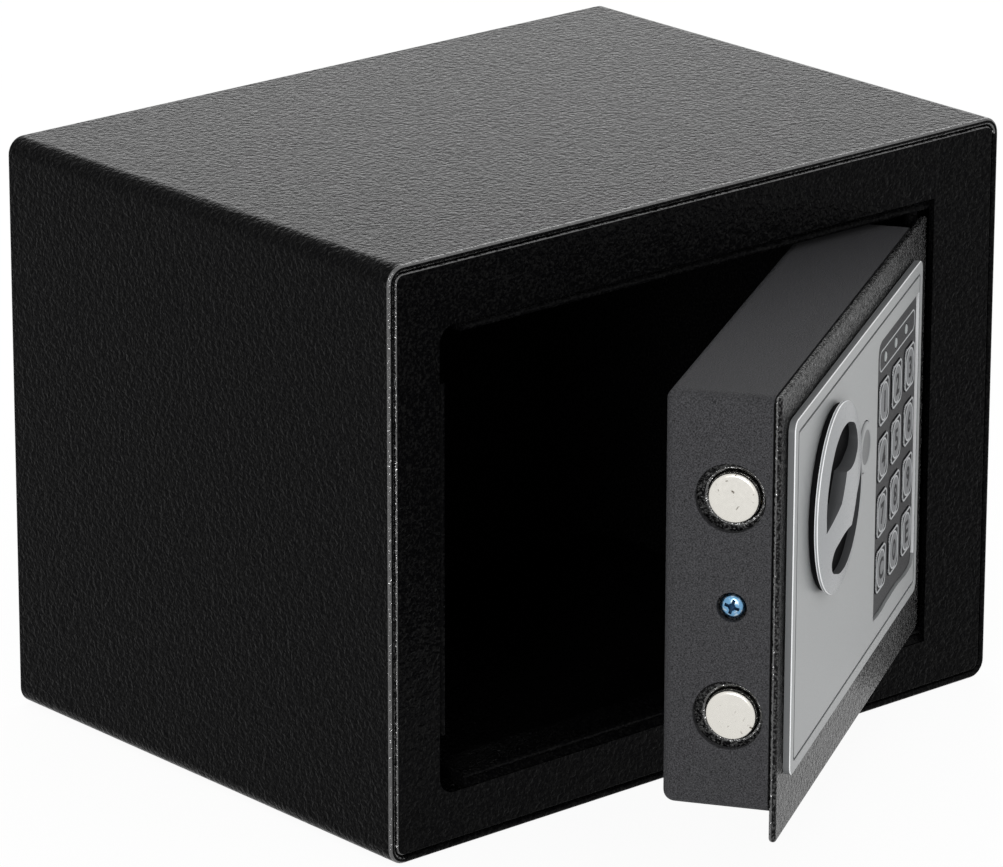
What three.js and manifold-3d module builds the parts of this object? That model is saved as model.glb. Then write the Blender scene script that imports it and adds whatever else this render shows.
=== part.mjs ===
// A small portable car safe: a folded steel box with one hinged door in its front.
// The door carries a turning knob, a keypad, an emergency lock, two round bolts and a plastic rear cover.
// Millimetres, +Z up. The origin is the centre of the underside and the door is in the front, at -Y.
// The door stands part open. Its pieces are drawn closed, round the hinge line, and turned as one group.

import * as THREE from "three";
import { mergeVertices } from "three/addons/utils/BufferGeometryUtils.js";
import Module from "manifold-3d";

const wasm = await Module();
wasm.setup();

// General values
const overrun = 1;
const seatGap = 0.3;
const runningGap = 0.3;
const halfShare = 0.5;
const quarterTurn = Math.PI / 2;
const degree = Math.PI / 180;
const fineDivisions = 6;
const plainDivisions = 3;
const fewDivisions = 2;
const roundSides = 28;
const smallSides = 16;
const tinySides = 10;
const gridStep = 0.001;
const triangleCorners = 3;

// Sheets and walls
const bodySheet = 2;
const plateSheet = 2;
const frameSheet = 1.5;
const carriageSheet = 2.5;
const coverWall = 2;
const trayWall = 1.2;

// Knob
const knobSetback = 47.6;
const knobHeight = 82.1;
const knobRadius = 26.15;
const knobRim = 1;
const knobCrown = 3;
const knobStandOff = 4;
const knobWellRadius = 20.5;
const knobHubRadius = 21.5;
const shaftRadius = 4;
const bushWall = 1.7;
const bushFlange = 2.5;
const bushFlangeThickness = 1;
const crankDepth = 4.2;
const crankThickness = 3;
const crankThrow = 9;
const crankHubRadius = 6.5;
const crankTipRadius = 3.6;
const crankPinRadius = 1.8;
const crankPinReach = 3.6;
const crankSlotGap = 0.5;
const knobSwing = 90 * degree;
const crankPinAcross = crankThrow * Math.cos(knobSwing * halfShare);
const boltStroke = crankPinAcross / halfShare;

// Emergency lock
const knobToLock = 41;
const lockSetback = knobSetback + knobToLock;
const lockHeight = 82.8;
const lockBodyRadius = 8;
const lockBodyLength = 18;
const lockPlugRadius = 5;
const lockPlugRecess = 1;
const lockCamThickness = 1.6;
const lockCamReach = 18;
const lockCamWidth = 8;
const lockCapRadius = 7.2;
const lockCapProud = 0.6;
const lockCapThickness = 1.6;

// Keypad
const keyColumns = 3;
const keyRows = 4;
const keyPitchAcross = 16.2;
const keyPitchDown = 16.4;
const keyWidth = 11.5;
const keyHeight = 12.4;
const keyCornerRadius = 2.2;
const keyProud = 0.5;
const keyCapThickness = 0.9;
const keyStemRadius = 2;
const keyStemGap = 0.5;
const keyTravel = 0.8;
const keyLeftMargin = 10.2;
const keyRightMargin = 9;
const keyLowMargin = 12.8;
const ledAboveKeys = 12.1;
const ledLeftMargin = 12.8;
const ledPitch = 13;
const ledRadius = 1.6;
const ledProud = 0.5;
const lockToField = 15.4;
const fieldSetback = lockSetback + lockToField;
const fieldWidth = keyLeftMargin + (keyColumns - 1) * keyPitchAcross + keyRightMargin;
const fieldBottom = 26;
const fieldTopMargin = 7.2;
const fieldHeight = keyLowMargin + (keyRows - 1) * keyPitchDown + ledAboveKeys + fieldTopMargin;
const fieldRecess = 0.8;
const fieldCornerRadius = 4;
const fieldWave = 0.8;
const firstKeySetback = fieldSetback + keyLeftMargin;
const firstKeyHeight = fieldBottom + keyLowMargin + (keyRows - 1) * keyPitchDown;
const firstLedSetback = fieldSetback + ledLeftMargin;
const ledHeight = firstKeyHeight + ledAboveKeys;

// Control panel
const panelSetback = 6.2;
const panelBottom = 16.8;
const panelRightMargin = 4.1;
const panelTopMargin = 8.7;
const panelWidth = fieldSetback + fieldWidth + panelRightMargin - panelSetback;
const panelHeight = fieldBottom + fieldHeight + panelTopMargin - panelBottom;
const panelThickness = 2;
const panelCornerRadius = 3;
const panelEdgeBevel = 0.5;
const panelGrooveInset = 3.2;
const panelGrooveWidth = 0.5;
const panelGrooveDepth = 0.4;

// Door plate
const plateHingeMargin = 14.8;
const plateTopMargin = 8.5;
const plateWidth = panelSetback + panelWidth + plateHingeMargin;
const plateHeight = panelBottom + panelHeight + plateTopMargin;
const plateFreeGap = 3.8;
const plateBottomGap = 0.9;
const plateTopGap = 1.2;
const plateCornerRadius = 1.5;

// Hinge
const hingeToJamb = 4.8;
const hingeBehindFront = 4.2;
const hingeEdge = 1.5;
const restOpenAngle = 32.8 * degree;
const hingePinRadius = 1.8;
const pinStandOut = 2.8;
const lugHeight = 12.5;
const lugWidth = 9.7;
const lugDepth = 5;
const lugEdge = 2.9;
const lugSetback = 4.9;

// Cabinet: its opening is made to the door, and the box to the opening
const leftMargin = 21.2;
const rightMargin = 25.2;
const bottomMargin = 20;
const topMargin = 23.4;
const openingWidth = plateFreeGap + plateWidth - hingeEdge + hingeToJamb;
const openingHeight = plateBottomGap + plateHeight + plateTopGap;
const bodyWidth = leftMargin + openingWidth + rightMargin;
const bodyDepth = 166;
const bodyHeight = bottomMargin + openingHeight + topMargin;
const bodyEdgeRadius = 5;
const seamWidth = 0.3;
const jambBendRadius = 3;
const jambLap = 0.6;
const jambDepth = 5.4;
const sillDepth = 14;
const jambRelief = 13;
const sillRelief = 6;
const openingCornerRadius = 5;
const fixingHoleRadius = 5;
const fixingHoleSpacing = 120;
const backHoleHeight = bodyHeight * halfShare;

// Rear cover and the door frame in it
const coverDepth = 31.5;
const coverEdgeRadius = 3;
const coverTopSetback = 0.3;
const coverBottomSetback = 8.3;
const coverHingeSetback = 9;
const coverBoltHoleRadius = 9.6;
const coverBoltHoleDepth = 13.5;
const coverScrewHoleRadius = 4.15;
const frameBackGap = 3.2;

// Bolts and carriage
const boltRadius = 7;
const boltChamfer = 0.7;
const boltLength = 22.5;
const boltDepth = 12.8;
const lowerBoltHeight = 35.1;
const upperBoltHeight = 95.8;
const boltStemRadius = 3;
const boltStemOverhang = 1;
const boltGuideGap = 0.3;
const carriagePlateDepth = 8.2;
const carriageFlangeWidth = 9;
const carriagePinMargin = 6.8;
const carriageSetback = boltLength + seatGap;
const carriageLength = knobSetback + crankPinAcross + carriagePinMargin - carriageSetback;
const carriageEndMargin = 6;
const guideSlotHeight = 51;
const guideScrewSetback = 30;
const guideScrewRadius = 2;
const guideHeadRadius = 4;
const guideHeadThickness = 1.6;

// Solenoid
const plungerRadius = 3;
const plungerReach = 5;
const plungerTravel = 4;
const plungerGap = 1.2;
const solenoidSetback = carriageSetback + carriageLength + plungerGap + plungerReach;
const solenoidLength = 25;
const solenoidSize = 15;
const solenoidToCam = 10.3;
const solenoidHeight = lockHeight - lockCamReach - solenoidToCam - solenoidSize * halfShare;
const solenoidStandOff = 3.2;
const solenoidPlate = 1.2;

// Batteries
const batteryCount = 4;
const batteryRadius = 7.1;
const batteryLength = 49;
const batteryNubRadius = 2.6;
const batteryNubHeight = 1.2;
const batteryGap = 0.7;
const batteryPitch = batteryRadius / halfShare + batteryGap;
const trayEndRoom = 1.1;
const trayToSolenoid = 3;
const traySetback = solenoidSetback + solenoidLength + trayToSolenoid;
const trayBottom = 12.6;
const contactThickness = 0.5;
const contactWidth = 9;
const batteryDoorMargin = 1.5;
const batteryTabWidth = 12;
const batteryTabHeight = 2;

// Circuit board
const boardSideMargin = 3.5;
const boardHingeMargin = 2;
const boardTopMargin = 3.3;
const boardSetback = fieldSetback - boardSideMargin;
const boardWidth = boardSideMargin + fieldWidth + boardHingeMargin;
const boardBottom = fieldBottom;
const boardHeight = fieldHeight + boardTopMargin;
const boardThickness = 1.6;
const boardStandOff = 1.5;
const boardFootRadius = 2.5;
const boardFootInset = 4;
const switchSize = 6;
const switchHeight = 3.3;
const chipWidth = 12;
const chipHeight = 18;
const chipThickness = 1.5;
const buzzerRadius = 6;
const buzzerHeight = 5;

// Reset button
const resetSideInset = 10;
const resetTopInset = 7;
const resetSetback = boardSetback + boardWidth - resetSideInset;
const resetHeight = boardBottom + boardHeight - resetTopInset;
const resetHeadRadius = 3;
const resetHeadLength = 5;
const resetStemRadius = 1.4;
const resetProud = 0.6;
const resetTravel = 0.8;

// Cover screw
const screwHeadRadius = 3.5;
const screwHeadHeight = 1.9;
const screwShankRadius = 1.6;
const screwShankLength = 6;
const screwCrossWidth = 0.9;
const screwCrossReach = 2.2;
const screwCrossDepth = 1.1;
const coverScrewHeight = 65.6;

// Places worked out from the values above, in the frame of the whole safe
const bodyLeft = -bodyWidth * halfShare;
const bodyRight = bodyWidth * halfShare;
const bodyFront = -bodyDepth * halfShare;
const bodyBack = bodyDepth * halfShare;
const openingLeft = bodyLeft + leftMargin;
const openingRight = bodyRight - rightMargin;
const openingBottom = bottomMargin;
const openingTop = openingBottom + openingHeight;
const hingeX = openingRight - hingeToJamb;
const hingeY = bodyFront + hingeBehindFront;

// Places in the frame of the closed door, whose origin is the hinge line at the height of the underside
const plateRight = hingeEdge;
const plateLeft = plateRight - plateWidth;
const plateBottom = openingBottom + plateBottomGap;
const plateTop = plateBottom + plateHeight;
const plateFront = -hingeBehindFront;
const plateBack = plateFront + plateSheet;
const panelBack = plateFront - seatGap;
const panelFront = panelBack - panelThickness;
const fieldFront = panelFront + fieldRecess;
const coverBack = plateFront + coverDepth;
const coverRight = -coverHingeSetback;
const coverBottom = plateBottom + coverBottomSetback;
const coverTop = plateTop - coverTopSetback;
const coverInner = coverBack - coverWall;
const frameLeft = plateLeft + coverWall + seatGap;
const frameRight = coverRight - coverWall - seatGap;
const frameBottom = coverBottom + coverWall + seatGap;
const frameTop = coverTop - coverWall - seatGap;
const frameFront = plateBack + seatGap;
const frameBack = coverInner - frameBackGap;
const boltY = plateFront + boltDepth;
const boltHeights = {
  bolt_lower: plateBottom + lowerBoltHeight,
  bolt_upper: plateBottom + upperBoltHeight,
};
const knobX = plateLeft + knobSetback;
const knobZ = plateBottom + knobHeight;
const lockX = plateLeft + lockSetback;
const lockZ = plateBottom + lockHeight;

// Finishes
function finish(color, roughness, metalness) {
  return () => new THREE.MeshStandardMaterial({ color, roughness, metalness });
}
const blackPowderCoat = finish(0x0b0b0c, 0.25, 0);
const coverPlastic = finish(0x3c3c3f, 0.6, 0);
const silverPlastic = finish(0x9c9fa1, 0.4, 0.3);
const fieldPlastic = finish(0x4d4e52, 0.6, 0);
const keyRubber = finish(0x9a9c9f, 0.6, 0);
const nickelSteel = finish(0xd8d4cc, 0.25, 1);
const zincSteel = finish(0xb9bcc0, 0.35, 1);
const blueZinc = finish(0x7d9dbd, 0.3, 1);
const brassMetal = finish(0xc2a35a, 0.3, 1);
const blackPlastic = finish(0x151516, 0.5, 0);
const boardGreen = finish(0x1f5a33, 0.5, 0);
const ledPlastic = finish(0xb4b8b6, 0.3, 0);
const batteryWrap = finish(0x2a2c30, 0.35, 0.4);
const redPlastic = finish(0xa51d1b, 0.45, 0);

// Solids: a closed geometry becomes a solid for cutting and joining
function solidOf(geometry) {
  const bare = geometry.clone();
  bare.deleteAttribute("normal");
  bare.deleteAttribute("uv");
  const merged = mergeVertices(bare);
  const vertProperties = Float32Array.from(merged.attributes.position.array);
  const triVerts = Uint32Array.from(merged.index.array);
  return new wasm.Manifold(new wasm.Mesh({ numProp: 3, vertProperties, triVerts }));
}
const join = (first, ...others) => others.reduce((whole, other) => whole.add(other), first);
const cut = (first, ...others) => others.reduce((whole, other) => whole.subtract(other), first);

// Points that rounding has parted are brought together on a fine grid, and the slivers between them go
function geometryOf(solid) {
  const mesh = solid.getMesh();
  const points = mesh.vertProperties.map((value) => Math.round(value / gridStep) * gridStep);
  const loose = new THREE.BufferGeometry();
  loose.setAttribute("position", new THREE.BufferAttribute(points, mesh.numProp));
  loose.setIndex(new THREE.BufferAttribute(mesh.triVerts, 1));
  const geometry = mergeVertices(loose, gridStep * halfShare);
  const corners = geometry.index.array;
  const kept = [];
  for (let start = 0; start < corners.length; start += triangleCorners) {
    const [first, second, third] = corners.slice(start, start + triangleCorners);
    if (first !== second && second !== third && third !== first) kept.push(first, second, third);
  }
  geometry.setIndex(kept);
  geometry.computeVertexNormals();
  return geometry;
}

function piece(name, material, solid) {
  const mesh = new THREE.Mesh(geometryOf(solid), material());
  mesh.name = name;
  return mesh;
}

// Outlines
function roundedRect(left, bottom, right, top, radius) {
  const shape = new THREE.Shape();
  shape.moveTo(left + radius, bottom);
  shape.lineTo(right - radius, bottom);
  shape.absarc(right - radius, bottom + radius, radius, -quarterTurn, 0);
  shape.lineTo(right, top - radius);
  shape.absarc(right - radius, top - radius, radius, 0, quarterTurn);
  shape.lineTo(left + radius, top);
  shape.absarc(left + radius, top - radius, radius, quarterTurn, Math.PI);
  shape.lineTo(left, bottom + radius);
  shape.absarc(left + radius, bottom + radius, radius, Math.PI, Math.PI + quarterTurn);
  return shape;
}

// Prisms: an outline drawn across X and Z and drawn out along Y, or across Y and Z and drawn out along X
const axisX = new THREE.Vector3(1, 0, 0);
const axisY = new THREE.Vector3(0, 1, 0);
const axisZ = new THREE.Vector3(0, 0, 1);

function prismAlongY(shape, yFrom, yTo, divisions = plainDivisions) {
  const geometry = new THREE.ExtrudeGeometry(shape, {
    depth: yTo - yFrom, bevelEnabled: false, curveSegments: divisions,
  });
  geometry.applyMatrix4(new THREE.Matrix4().makeBasis(axisX, axisZ, axisY.clone().negate()));
  geometry.translate(0, yTo, 0);
  return solidOf(geometry);
}

function prismAlongX(shape, xFrom, xTo, divisions = plainDivisions) {
  const geometry = new THREE.ExtrudeGeometry(shape, {
    depth: xTo - xFrom, bevelEnabled: false, curveSegments: divisions,
  });
  geometry.applyMatrix4(new THREE.Matrix4().makeBasis(axisY, axisZ, axisX));
  geometry.translate(xFrom, 0, 0);
  return solidOf(geometry);
}

function prismAlongZ(shape, zFrom, zTo, divisions = plainDivisions) {
  const geometry = new THREE.ExtrudeGeometry(shape, {
    depth: zTo - zFrom, bevelEnabled: false, curveSegments: divisions,
  });
  geometry.translate(0, 0, zFrom);
  return solidOf(geometry);
}

function block(xFrom, xTo, yFrom, yTo, zFrom, zTo) {
  const geometry = new THREE.BoxGeometry(xTo - xFrom, yTo - yFrom, zTo - zFrom);
  const middle = new THREE.Vector3(xFrom + xTo, yFrom + yTo, zFrom + zTo).multiplyScalar(halfShare);
  geometry.translate(middle.x, middle.y, middle.z);
  return solidOf(geometry);
}

// Turned pieces: a profile of [radius, distance along the axis] points, on an axis along X, Y or Z
function turned(points, sides) {
  return new THREE.LatheGeometry(points.map(([radius, along]) => new THREE.Vector2(radius, along)), sides);
}
function turnedAlongY(points, x, z, sides = roundSides) {
  const geometry = turned(points, sides);
  geometry.translate(x, 0, z);
  return solidOf(geometry);
}
function turnedAlongX(points, y, z, sides = roundSides) {
  const geometry = turned(points, sides);
  geometry.rotateZ(-quarterTurn);
  geometry.translate(0, y, z);
  return solidOf(geometry);
}
function turnedAlongZ(points, x, y, sides = roundSides) {
  const geometry = turned(points, sides);
  geometry.rotateX(quarterTurn);
  geometry.translate(x, y, 0);
  return solidOf(geometry);
}
const rod = (radius, from, to) => [[0, from], [radius, from], [radius, to], [0, to]];

// Cabinet: one folded wrap, open in front and behind, with a front frame and a back plate set in it
const wrapOutline = () => roundedRect(bodyLeft, 0, bodyRight, bodyHeight, bodyEdgeRadius);
function insetOutline(inset) {
  const radius = bodyEdgeRadius - inset;
  return roundedRect(bodyLeft + inset, inset, bodyRight - inset, bodyHeight - inset, radius);
}

function outerWrap() {
  return cut(
    prismAlongY(wrapOutline(), bodyFront, bodyBack, fineDivisions),
    prismAlongY(insetOutline(bodySheet), bodyFront - overrun, bodyBack + overrun, fineDivisions),
  );
}

function backPlate() {
  const outline = insetOutline(bodySheet + seamWidth);
  const sheet = prismAlongY(outline, bodyBack - bodySheet, bodyBack, fineDivisions);
  const drill = rod(fixingHoleRadius, bodyBack - bodySheet - overrun, bodyBack + overrun);
  const holes = [-fixingHoleSpacing, fixingHoleSpacing].map((across) =>
    turnedAlongY(drill, across * halfShare, backHoleHeight, smallSides));
  return cut(sheet, ...holes);
}

// The section of a flange that is bent inwards from the front sheet, for an edge that faces up or right
function flangeSection(front, edge, depth) {
  const shape = new THREE.Shape();
  const arcFront = front + jambBendRadius;
  const arcEdge = edge - jambBendRadius;
  shape.moveTo(front, arcEdge - jambLap / halfShare);
  shape.lineTo(front, arcEdge);
  shape.absarc(arcFront, arcEdge, jambBendRadius, Math.PI, quarterTurn, true);
  shape.lineTo(front + depth, edge);
  shape.lineTo(front + depth, edge - bodySheet);
  shape.lineTo(arcFront, edge - bodySheet);
  shape.absarc(arcFront, arcEdge, jambBendRadius - bodySheet, quarterTurn, Math.PI);
  shape.lineTo(front + bodySheet, arcEdge - jambLap / halfShare);
  return shape;
}

// The flat sheet is cut back to where the bends start, with round corners on the side of the bolts
function openingOutline() {
  const left = openingLeft - jambBendRadius - jambLap;
  const bottom = openingBottom - jambBendRadius - jambLap;
  const top = openingTop + jambBendRadius + jambLap;
  const radius = openingCornerRadius;
  const shape = new THREE.Shape();
  shape.moveTo(openingRight, bottom);
  shape.lineTo(openingRight, top);
  shape.lineTo(left + radius, top);
  shape.absarc(left + radius, top - radius, radius, quarterTurn, Math.PI);
  shape.lineTo(left, bottom + radius);
  shape.absarc(left + radius, bottom + radius, radius, Math.PI, Math.PI + quarterTurn);
  return shape;
}

function frontFrame() {
  const sheet = cut(
    prismAlongY(insetOutline(bodySheet + seamWidth), bodyFront, bodyFront + bodySheet, fineDivisions),
    prismAlongY(openingOutline(), bodyFront - overrun, bodyFront + bodySheet + overrun),
  );
  const sill = prismAlongX(flangeSection(bodyFront, openingBottom, sillDepth),
    openingLeft + sillRelief, openingRight + jambLap);
  const head = sill.mirror([0, 0, 1]).translate([0, 0, openingBottom + openingTop]);
  const jambShape = flangeSection(bodyFront, openingLeft, jambDepth);
  const jamb = prismAlongZ(jambShape, openingBottom + jambRelief, openingTop - jambRelief)
    .mirror([1, -1, 0]);
  const pinHole = turnedAlongZ(rod(hingePinRadius + runningGap, 0, bodyHeight), hingeX, hingeY, smallSides);
  return cut(join(sheet, sill, head, jamb), pinHole);
}

// Door plate, hinge lugs and pins
function doorPlate() {
  const sheet = prismAlongY(roundedRect(plateLeft, plateBottom, plateRight, plateTop, plateCornerRadius),
    plateFront, plateBack);
  const drill = (radius, x, z, sides) => turnedAlongY(
    rod(radius, plateFront - overrun, plateBack + overrun), x, z, sides);
  const holes = [
    drill(shaftRadius + bushWall + seatGap, knobX, knobZ, smallSides),
    drill(lockBodyRadius + seatGap, lockX, lockZ, roundSides),
  ];
  for (const key of keyPlaces()) holes.push(drill(keyStemRadius + keyStemGap, key.x, key.z, tinySides));
  for (const led of ledPlaces()) holes.push(drill(ledRadius + seatGap, led.x, led.z, tinySides));
  return cut(sheet, ...holes);
}

const lugBottoms = { lower: plateBottom + lugSetback, upper: plateTop - lugSetback - lugHeight };

function hingeLug(bottom) {
  const body = block(lugEdge - lugWidth, lugEdge, plateBack + seatGap, plateBack + seatGap + lugDepth,
    bottom, bottom + lugHeight);
  const bore = rod(hingePinRadius + seatGap, bottom - overrun, bottom + lugHeight + overrun);
  return cut(body, turnedAlongZ(bore, 0, 0, smallSides));
}

function hingePin(from, to) {
  return turnedAlongZ(rod(hingePinRadius, from, to), 0, 0, smallSides);
}

// Door frame: four flanges behind the plate that guide the bolts and take the cover's screws
function doorFrame() {
  const outline = (inset) => roundedRect(frameLeft + inset, frameBottom + inset, frameRight - inset,
    frameTop - inset, coverEdgeRadius - coverWall);
  const walls = cut(
    prismAlongY(outline(0), frameFront, frameBack),
    prismAlongY(outline(frameSheet), frameFront - overrun, frameBack + overrun),
  );
  const boltDrill = rod(boltRadius + boltGuideGap, frameLeft - overrun, frameLeft + frameSheet + overrun);
  const screwDrill = rod(screwShankRadius + seatGap, frameLeft - overrun, frameRight + overrun);
  return cut(
    walls,
    ...Object.values(boltHeights).map((height) => turnedAlongX(boltDrill, boltY, height)),
    turnedAlongX(screwDrill, boltY, plateBottom + coverScrewHeight, smallSides),
  );
}

// Rear cover: a moulded tray over the frame, open to the plate
const coverCornerShare = 0.2;

function coverShell() {
  const edge = coverEdgeRadius;
  const front = plateBack + seatGap;
  const shape = roundedRect(plateLeft + edge, coverBottom + edge, coverRight - edge, coverTop - edge,
    edge * coverCornerShare);
  const geometry = new THREE.ExtrudeGeometry(shape, {
    depth: coverBack - front, bevelThickness: edge, bevelSize: edge, bevelSegments: plainDivisions,
    curveSegments: plainDivisions,
  });
  geometry.applyMatrix4(new THREE.Matrix4().makeBasis(axisX, axisZ, axisY.clone().negate()));
  geometry.translate(0, coverBack - edge, 0);
  const clear = coverDepth;
  const keep = block(plateLeft - clear, clear, front, coverBack + clear, coverBottom - clear,
    coverTop + clear);
  const inside = roundedRect(plateLeft + coverWall, coverBottom + coverWall, coverRight - coverWall,
    coverTop - coverWall, edge - coverWall);
  return cut(solidOf(geometry).intersect(keep), prismAlongY(inside, front - overrun, coverInner));
}

const batteryOpening = {
  left: trayLeft() + batteryDoorMargin,
  right: trayRight() - batteryDoorMargin,
  bottom: trayLow() + batteryDoorMargin,
  top: trayHigh() - batteryDoorMargin,
};

function rearCover() {
  const opening = batteryOpening;
  const boltHole = rod(coverBoltHoleRadius, plateLeft - overrun, plateLeft + coverWall + overrun);
  const screwHole = rod(coverScrewHoleRadius, plateLeft - overrun, plateLeft + coverWall + overrun);
  const screwHoleRight = rod(coverScrewHoleRadius, coverRight - coverWall - overrun, coverRight + overrun);
  const buttonHole = rod(resetHeadRadius + runningGap, coverInner - overrun, coverBack + overrun);
  return cut(
    coverShell(),
    ...Object.values(boltHeights).map((height) =>
      turnedAlongX(boltHole, plateFront + coverBoltHoleDepth, height)),
    turnedAlongX(screwHole, boltY, plateBottom + coverScrewHeight),
    turnedAlongX(screwHoleRight, boltY, plateBottom + coverScrewHeight),
    block(opening.left, opening.right, coverInner - overrun, coverBack + overrun,
      opening.bottom, opening.top),
    turnedAlongY(buttonHole, plateLeft + resetSetback, plateBottom + resetHeight, smallSides),
  );
}

// A cross-head screw that lies along X with its head to the left
function coverScrew() {
  const seat = frameLeft - seatGap;
  const head = seat - screwHeadHeight;
  const screwZ = plateBottom + coverScrewHeight;
  const body = turnedAlongX([
    [0, head], [screwHeadRadius * halfShare, head + screwHeadHeight * headCrownShare],
    [screwHeadRadius, head + screwHeadHeight * headRimShare], [screwHeadRadius, seat],
    [screwShankRadius, seat], [screwShankRadius, seat + screwShankLength], [0, seat + screwShankLength],
  ], boltY, screwZ, smallSides);
  const bar = (halfY, halfZ) => block(head - overrun, head + screwCrossDepth,
    boltY - halfY, boltY + halfY, screwZ - halfZ, screwZ + halfZ);
  const width = screwCrossWidth * halfShare;
  return cut(body, bar(width, screwCrossReach), bar(screwCrossReach, width));
}

// Bolts: round bars with a stem that is riveted into the carriage
const boltEnd = plateLeft + boltLength;

function bolt(height) {
  const stemEnd = boltEnd + seatGap + carriageSheet + boltStemOverhang;
  return turnedAlongX([
    [0, plateLeft], [boltRadius - boltChamfer, plateLeft], [boltRadius, plateLeft + boltChamfer],
    [boltRadius, boltEnd], [boltStemRadius, boltEnd], [boltStemRadius, stemEnd], [0, stemEnd],
  ], boltY, height);
}

// Carriage: a bent plate that ties the bolts together, with one slot for the crank and one for the guide
function boltCarriage() {
  const left = boltEnd + seatGap;
  const right = left + carriageLength;
  const bottom = boltHeights.bolt_lower - carriageEndMargin;
  const top = boltHeights.bolt_upper + carriageEndMargin;
  const front = plateFront + carriagePlateDepth;
  const back = front + carriageSheet;
  const flangeBack = boltY + carriageFlangeWidth * halfShare;
  const pinX = knobX + crankPinAcross;
  const slotHalf = crankPinRadius + crankSlotGap;
  const crankSlot = block(pinX - slotHalf, pinX + slotHalf, front - overrun, back + overrun,
    knobZ + crankPinAcross - slotHalf, knobZ + crankThrow + slotHalf);
  const guideX = plateLeft + guideScrewSetback;
  const guideZ = plateBottom + guideSlotHeight;
  const guideHalf = guideScrewRadius + runningGap;
  const guideSlot = block(guideX - guideHalf, guideX + guideHalf + boltStroke,
    front - overrun, back + overrun, guideZ - guideHalf, guideZ + guideHalf);
  const stemHole = rod(boltStemRadius + seatGap, left - overrun, left + carriageSheet + overrun);
  return cut(
    join(
      block(left, right, front, back, bottom, top),
      block(left, left + carriageSheet, front, flangeBack, bottom, top),
    ),
    crankSlot,
    guideSlot,
    ...Object.values(boltHeights).map((height) => turnedAlongX(stemHole, boltY, height, smallSides)),
  );
}

function guideScrew() {
  const foot = plateBack + seatGap;
  const seat = plateFront + carriagePlateDepth + carriageSheet + seatGap;
  return turnedAlongY([
    [0, foot], [guideScrewRadius, foot], [guideScrewRadius, seat], [guideHeadRadius, seat],
    [guideHeadRadius, seat + guideHeadThickness], [0, seat + guideHeadThickness],
  ], plateLeft + guideScrewSetback, plateBottom + guideSlotHeight, smallSides);
}

// Knob: a shallow crowned disc with two comma-shaped finger wells and an S-shaped bar between them
const headCrownShare = 0.12;
const headRimShare = 0.5;
const crownSteps = 4;
const rimBack = plateFront - knobStandOff;
const rimFront = rimBack - knobRim;
const wellStartTurn = 190 * degree;
const wellEndTurn = 50 * degree;
const wellEdgeShares = [[0.74, 0.56], [0.42, 0.45], [0.15, 0.36], [-0.17, 0.42], [-0.44, 0.07]];

function wellOutline() {
  const at = ([across, up]) => [knobX + across * knobWellRadius, knobZ + up * knobWellRadius];
  const [endCurve, barTop, barMiddle, stepCorner, stepFoot] = wellEdgeShares.map(at);
  const tipX = knobX + knobWellRadius * Math.cos(wellStartTurn);
  const tipZ = knobZ + knobWellRadius * Math.sin(wellStartTurn);
  const shape = new THREE.Shape();
  shape.moveTo(tipX, tipZ);
  shape.absarc(knobX, knobZ, knobWellRadius, wellStartTurn, wellEndTurn, true);
  shape.quadraticCurveTo(...endCurve, ...barTop);
  shape.quadraticCurveTo(...barMiddle, ...stepCorner);
  shape.lineTo(...stepFoot);
  shape.lineTo(tipX, tipZ);
  return shape;
}

function knob() {
  const profile = [[0, rimBack], [knobRadius, rimBack], [knobRadius, rimFront]];
  for (let step = 1; step <= crownSteps; step += 1) {
    const share = 1 - step / crownSteps;
    profile.push([knobRadius * share, rimFront - knobCrown * (1 - share * share)]);
  }
  const disc = turnedAlongY(profile.reverse(), knobX, knobZ, roundSides + smallSides);
  const well = prismAlongY(wellOutline(), rimFront - knobCrown - overrun, rimBack + overrun, fineDivisions);
  const centred = well.translate([-knobX, 0, -knobZ]);
  const otherWell = centred.rotate([0, 180, 0]).translate([knobX, 0, knobZ]);
  return cut(disc, well, otherWell);
}

const hubFront = rimBack + seatGap;
const hubBack = panelFront - seatGap;
const knobHub = () => turnedAlongY(rod(knobHubRadius, hubFront, hubBack), knobX, knobZ);

const crankFront = plateFront + crankDepth;
const crankBack = crankFront + crankThickness;

function knobShaft() {
  return turnedAlongY(rod(shaftRadius, hubBack + seatGap, crankBack), knobX, knobZ, smallSides);
}

function knobBush() {
  const bore = shaftRadius + runningGap;
  const outside = shaftRadius + bushWall;
  const flangeBack = plateBack + seatGap + bushFlangeThickness;
  return turnedAlongY([
    [bore, plateFront], [outside, plateFront], [outside, plateBack + seatGap],
    [outside + bushFlange, plateBack + seatGap], [outside + bushFlange, flangeBack],
    [bore, flangeBack], [bore, plateFront],
  ], knobX, knobZ);
}

// Crank: a lever on the shaft whose pin drives the carriage, leaning half the knob's swing to the right
function knobCrank() {
  const pinX = knobX + crankPinAcross;
  const pinZ = knobZ + crankPinAcross;
  const lever = new THREE.Shape();
  const lean = knobSwing * halfShare;
  lever.absarc(knobX, knobZ, crankHubRadius, quarterTurn + lean, quarterTurn + lean + Math.PI);
  lever.absarc(pinX, pinZ, crankTipRadius, lean - quarterTurn, lean + quarterTurn);
  const arm = prismAlongY(lever, crankFront, crankBack, fineDivisions);
  const pinRod = rod(crankPinRadius, crankFront, crankBack + crankPinReach);
  const pin = turnedAlongY(pinRod, pinX, pinZ, smallSides);
  const bore = rod(shaftRadius + seatGap, crankFront - overrun, crankBack + overrun);
  return cut(join(arm, pin), turnedAlongY(bore, knobX, knobZ, smallSides));
}

// Control panel: a moulded face with a fine groove near its edge and a window for the keypad
const panelLeft = plateLeft + panelSetback;
const panelRight = panelLeft + panelWidth;
const panelLow = plateBottom + panelBottom;
const panelHigh = panelLow + panelHeight;

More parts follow.
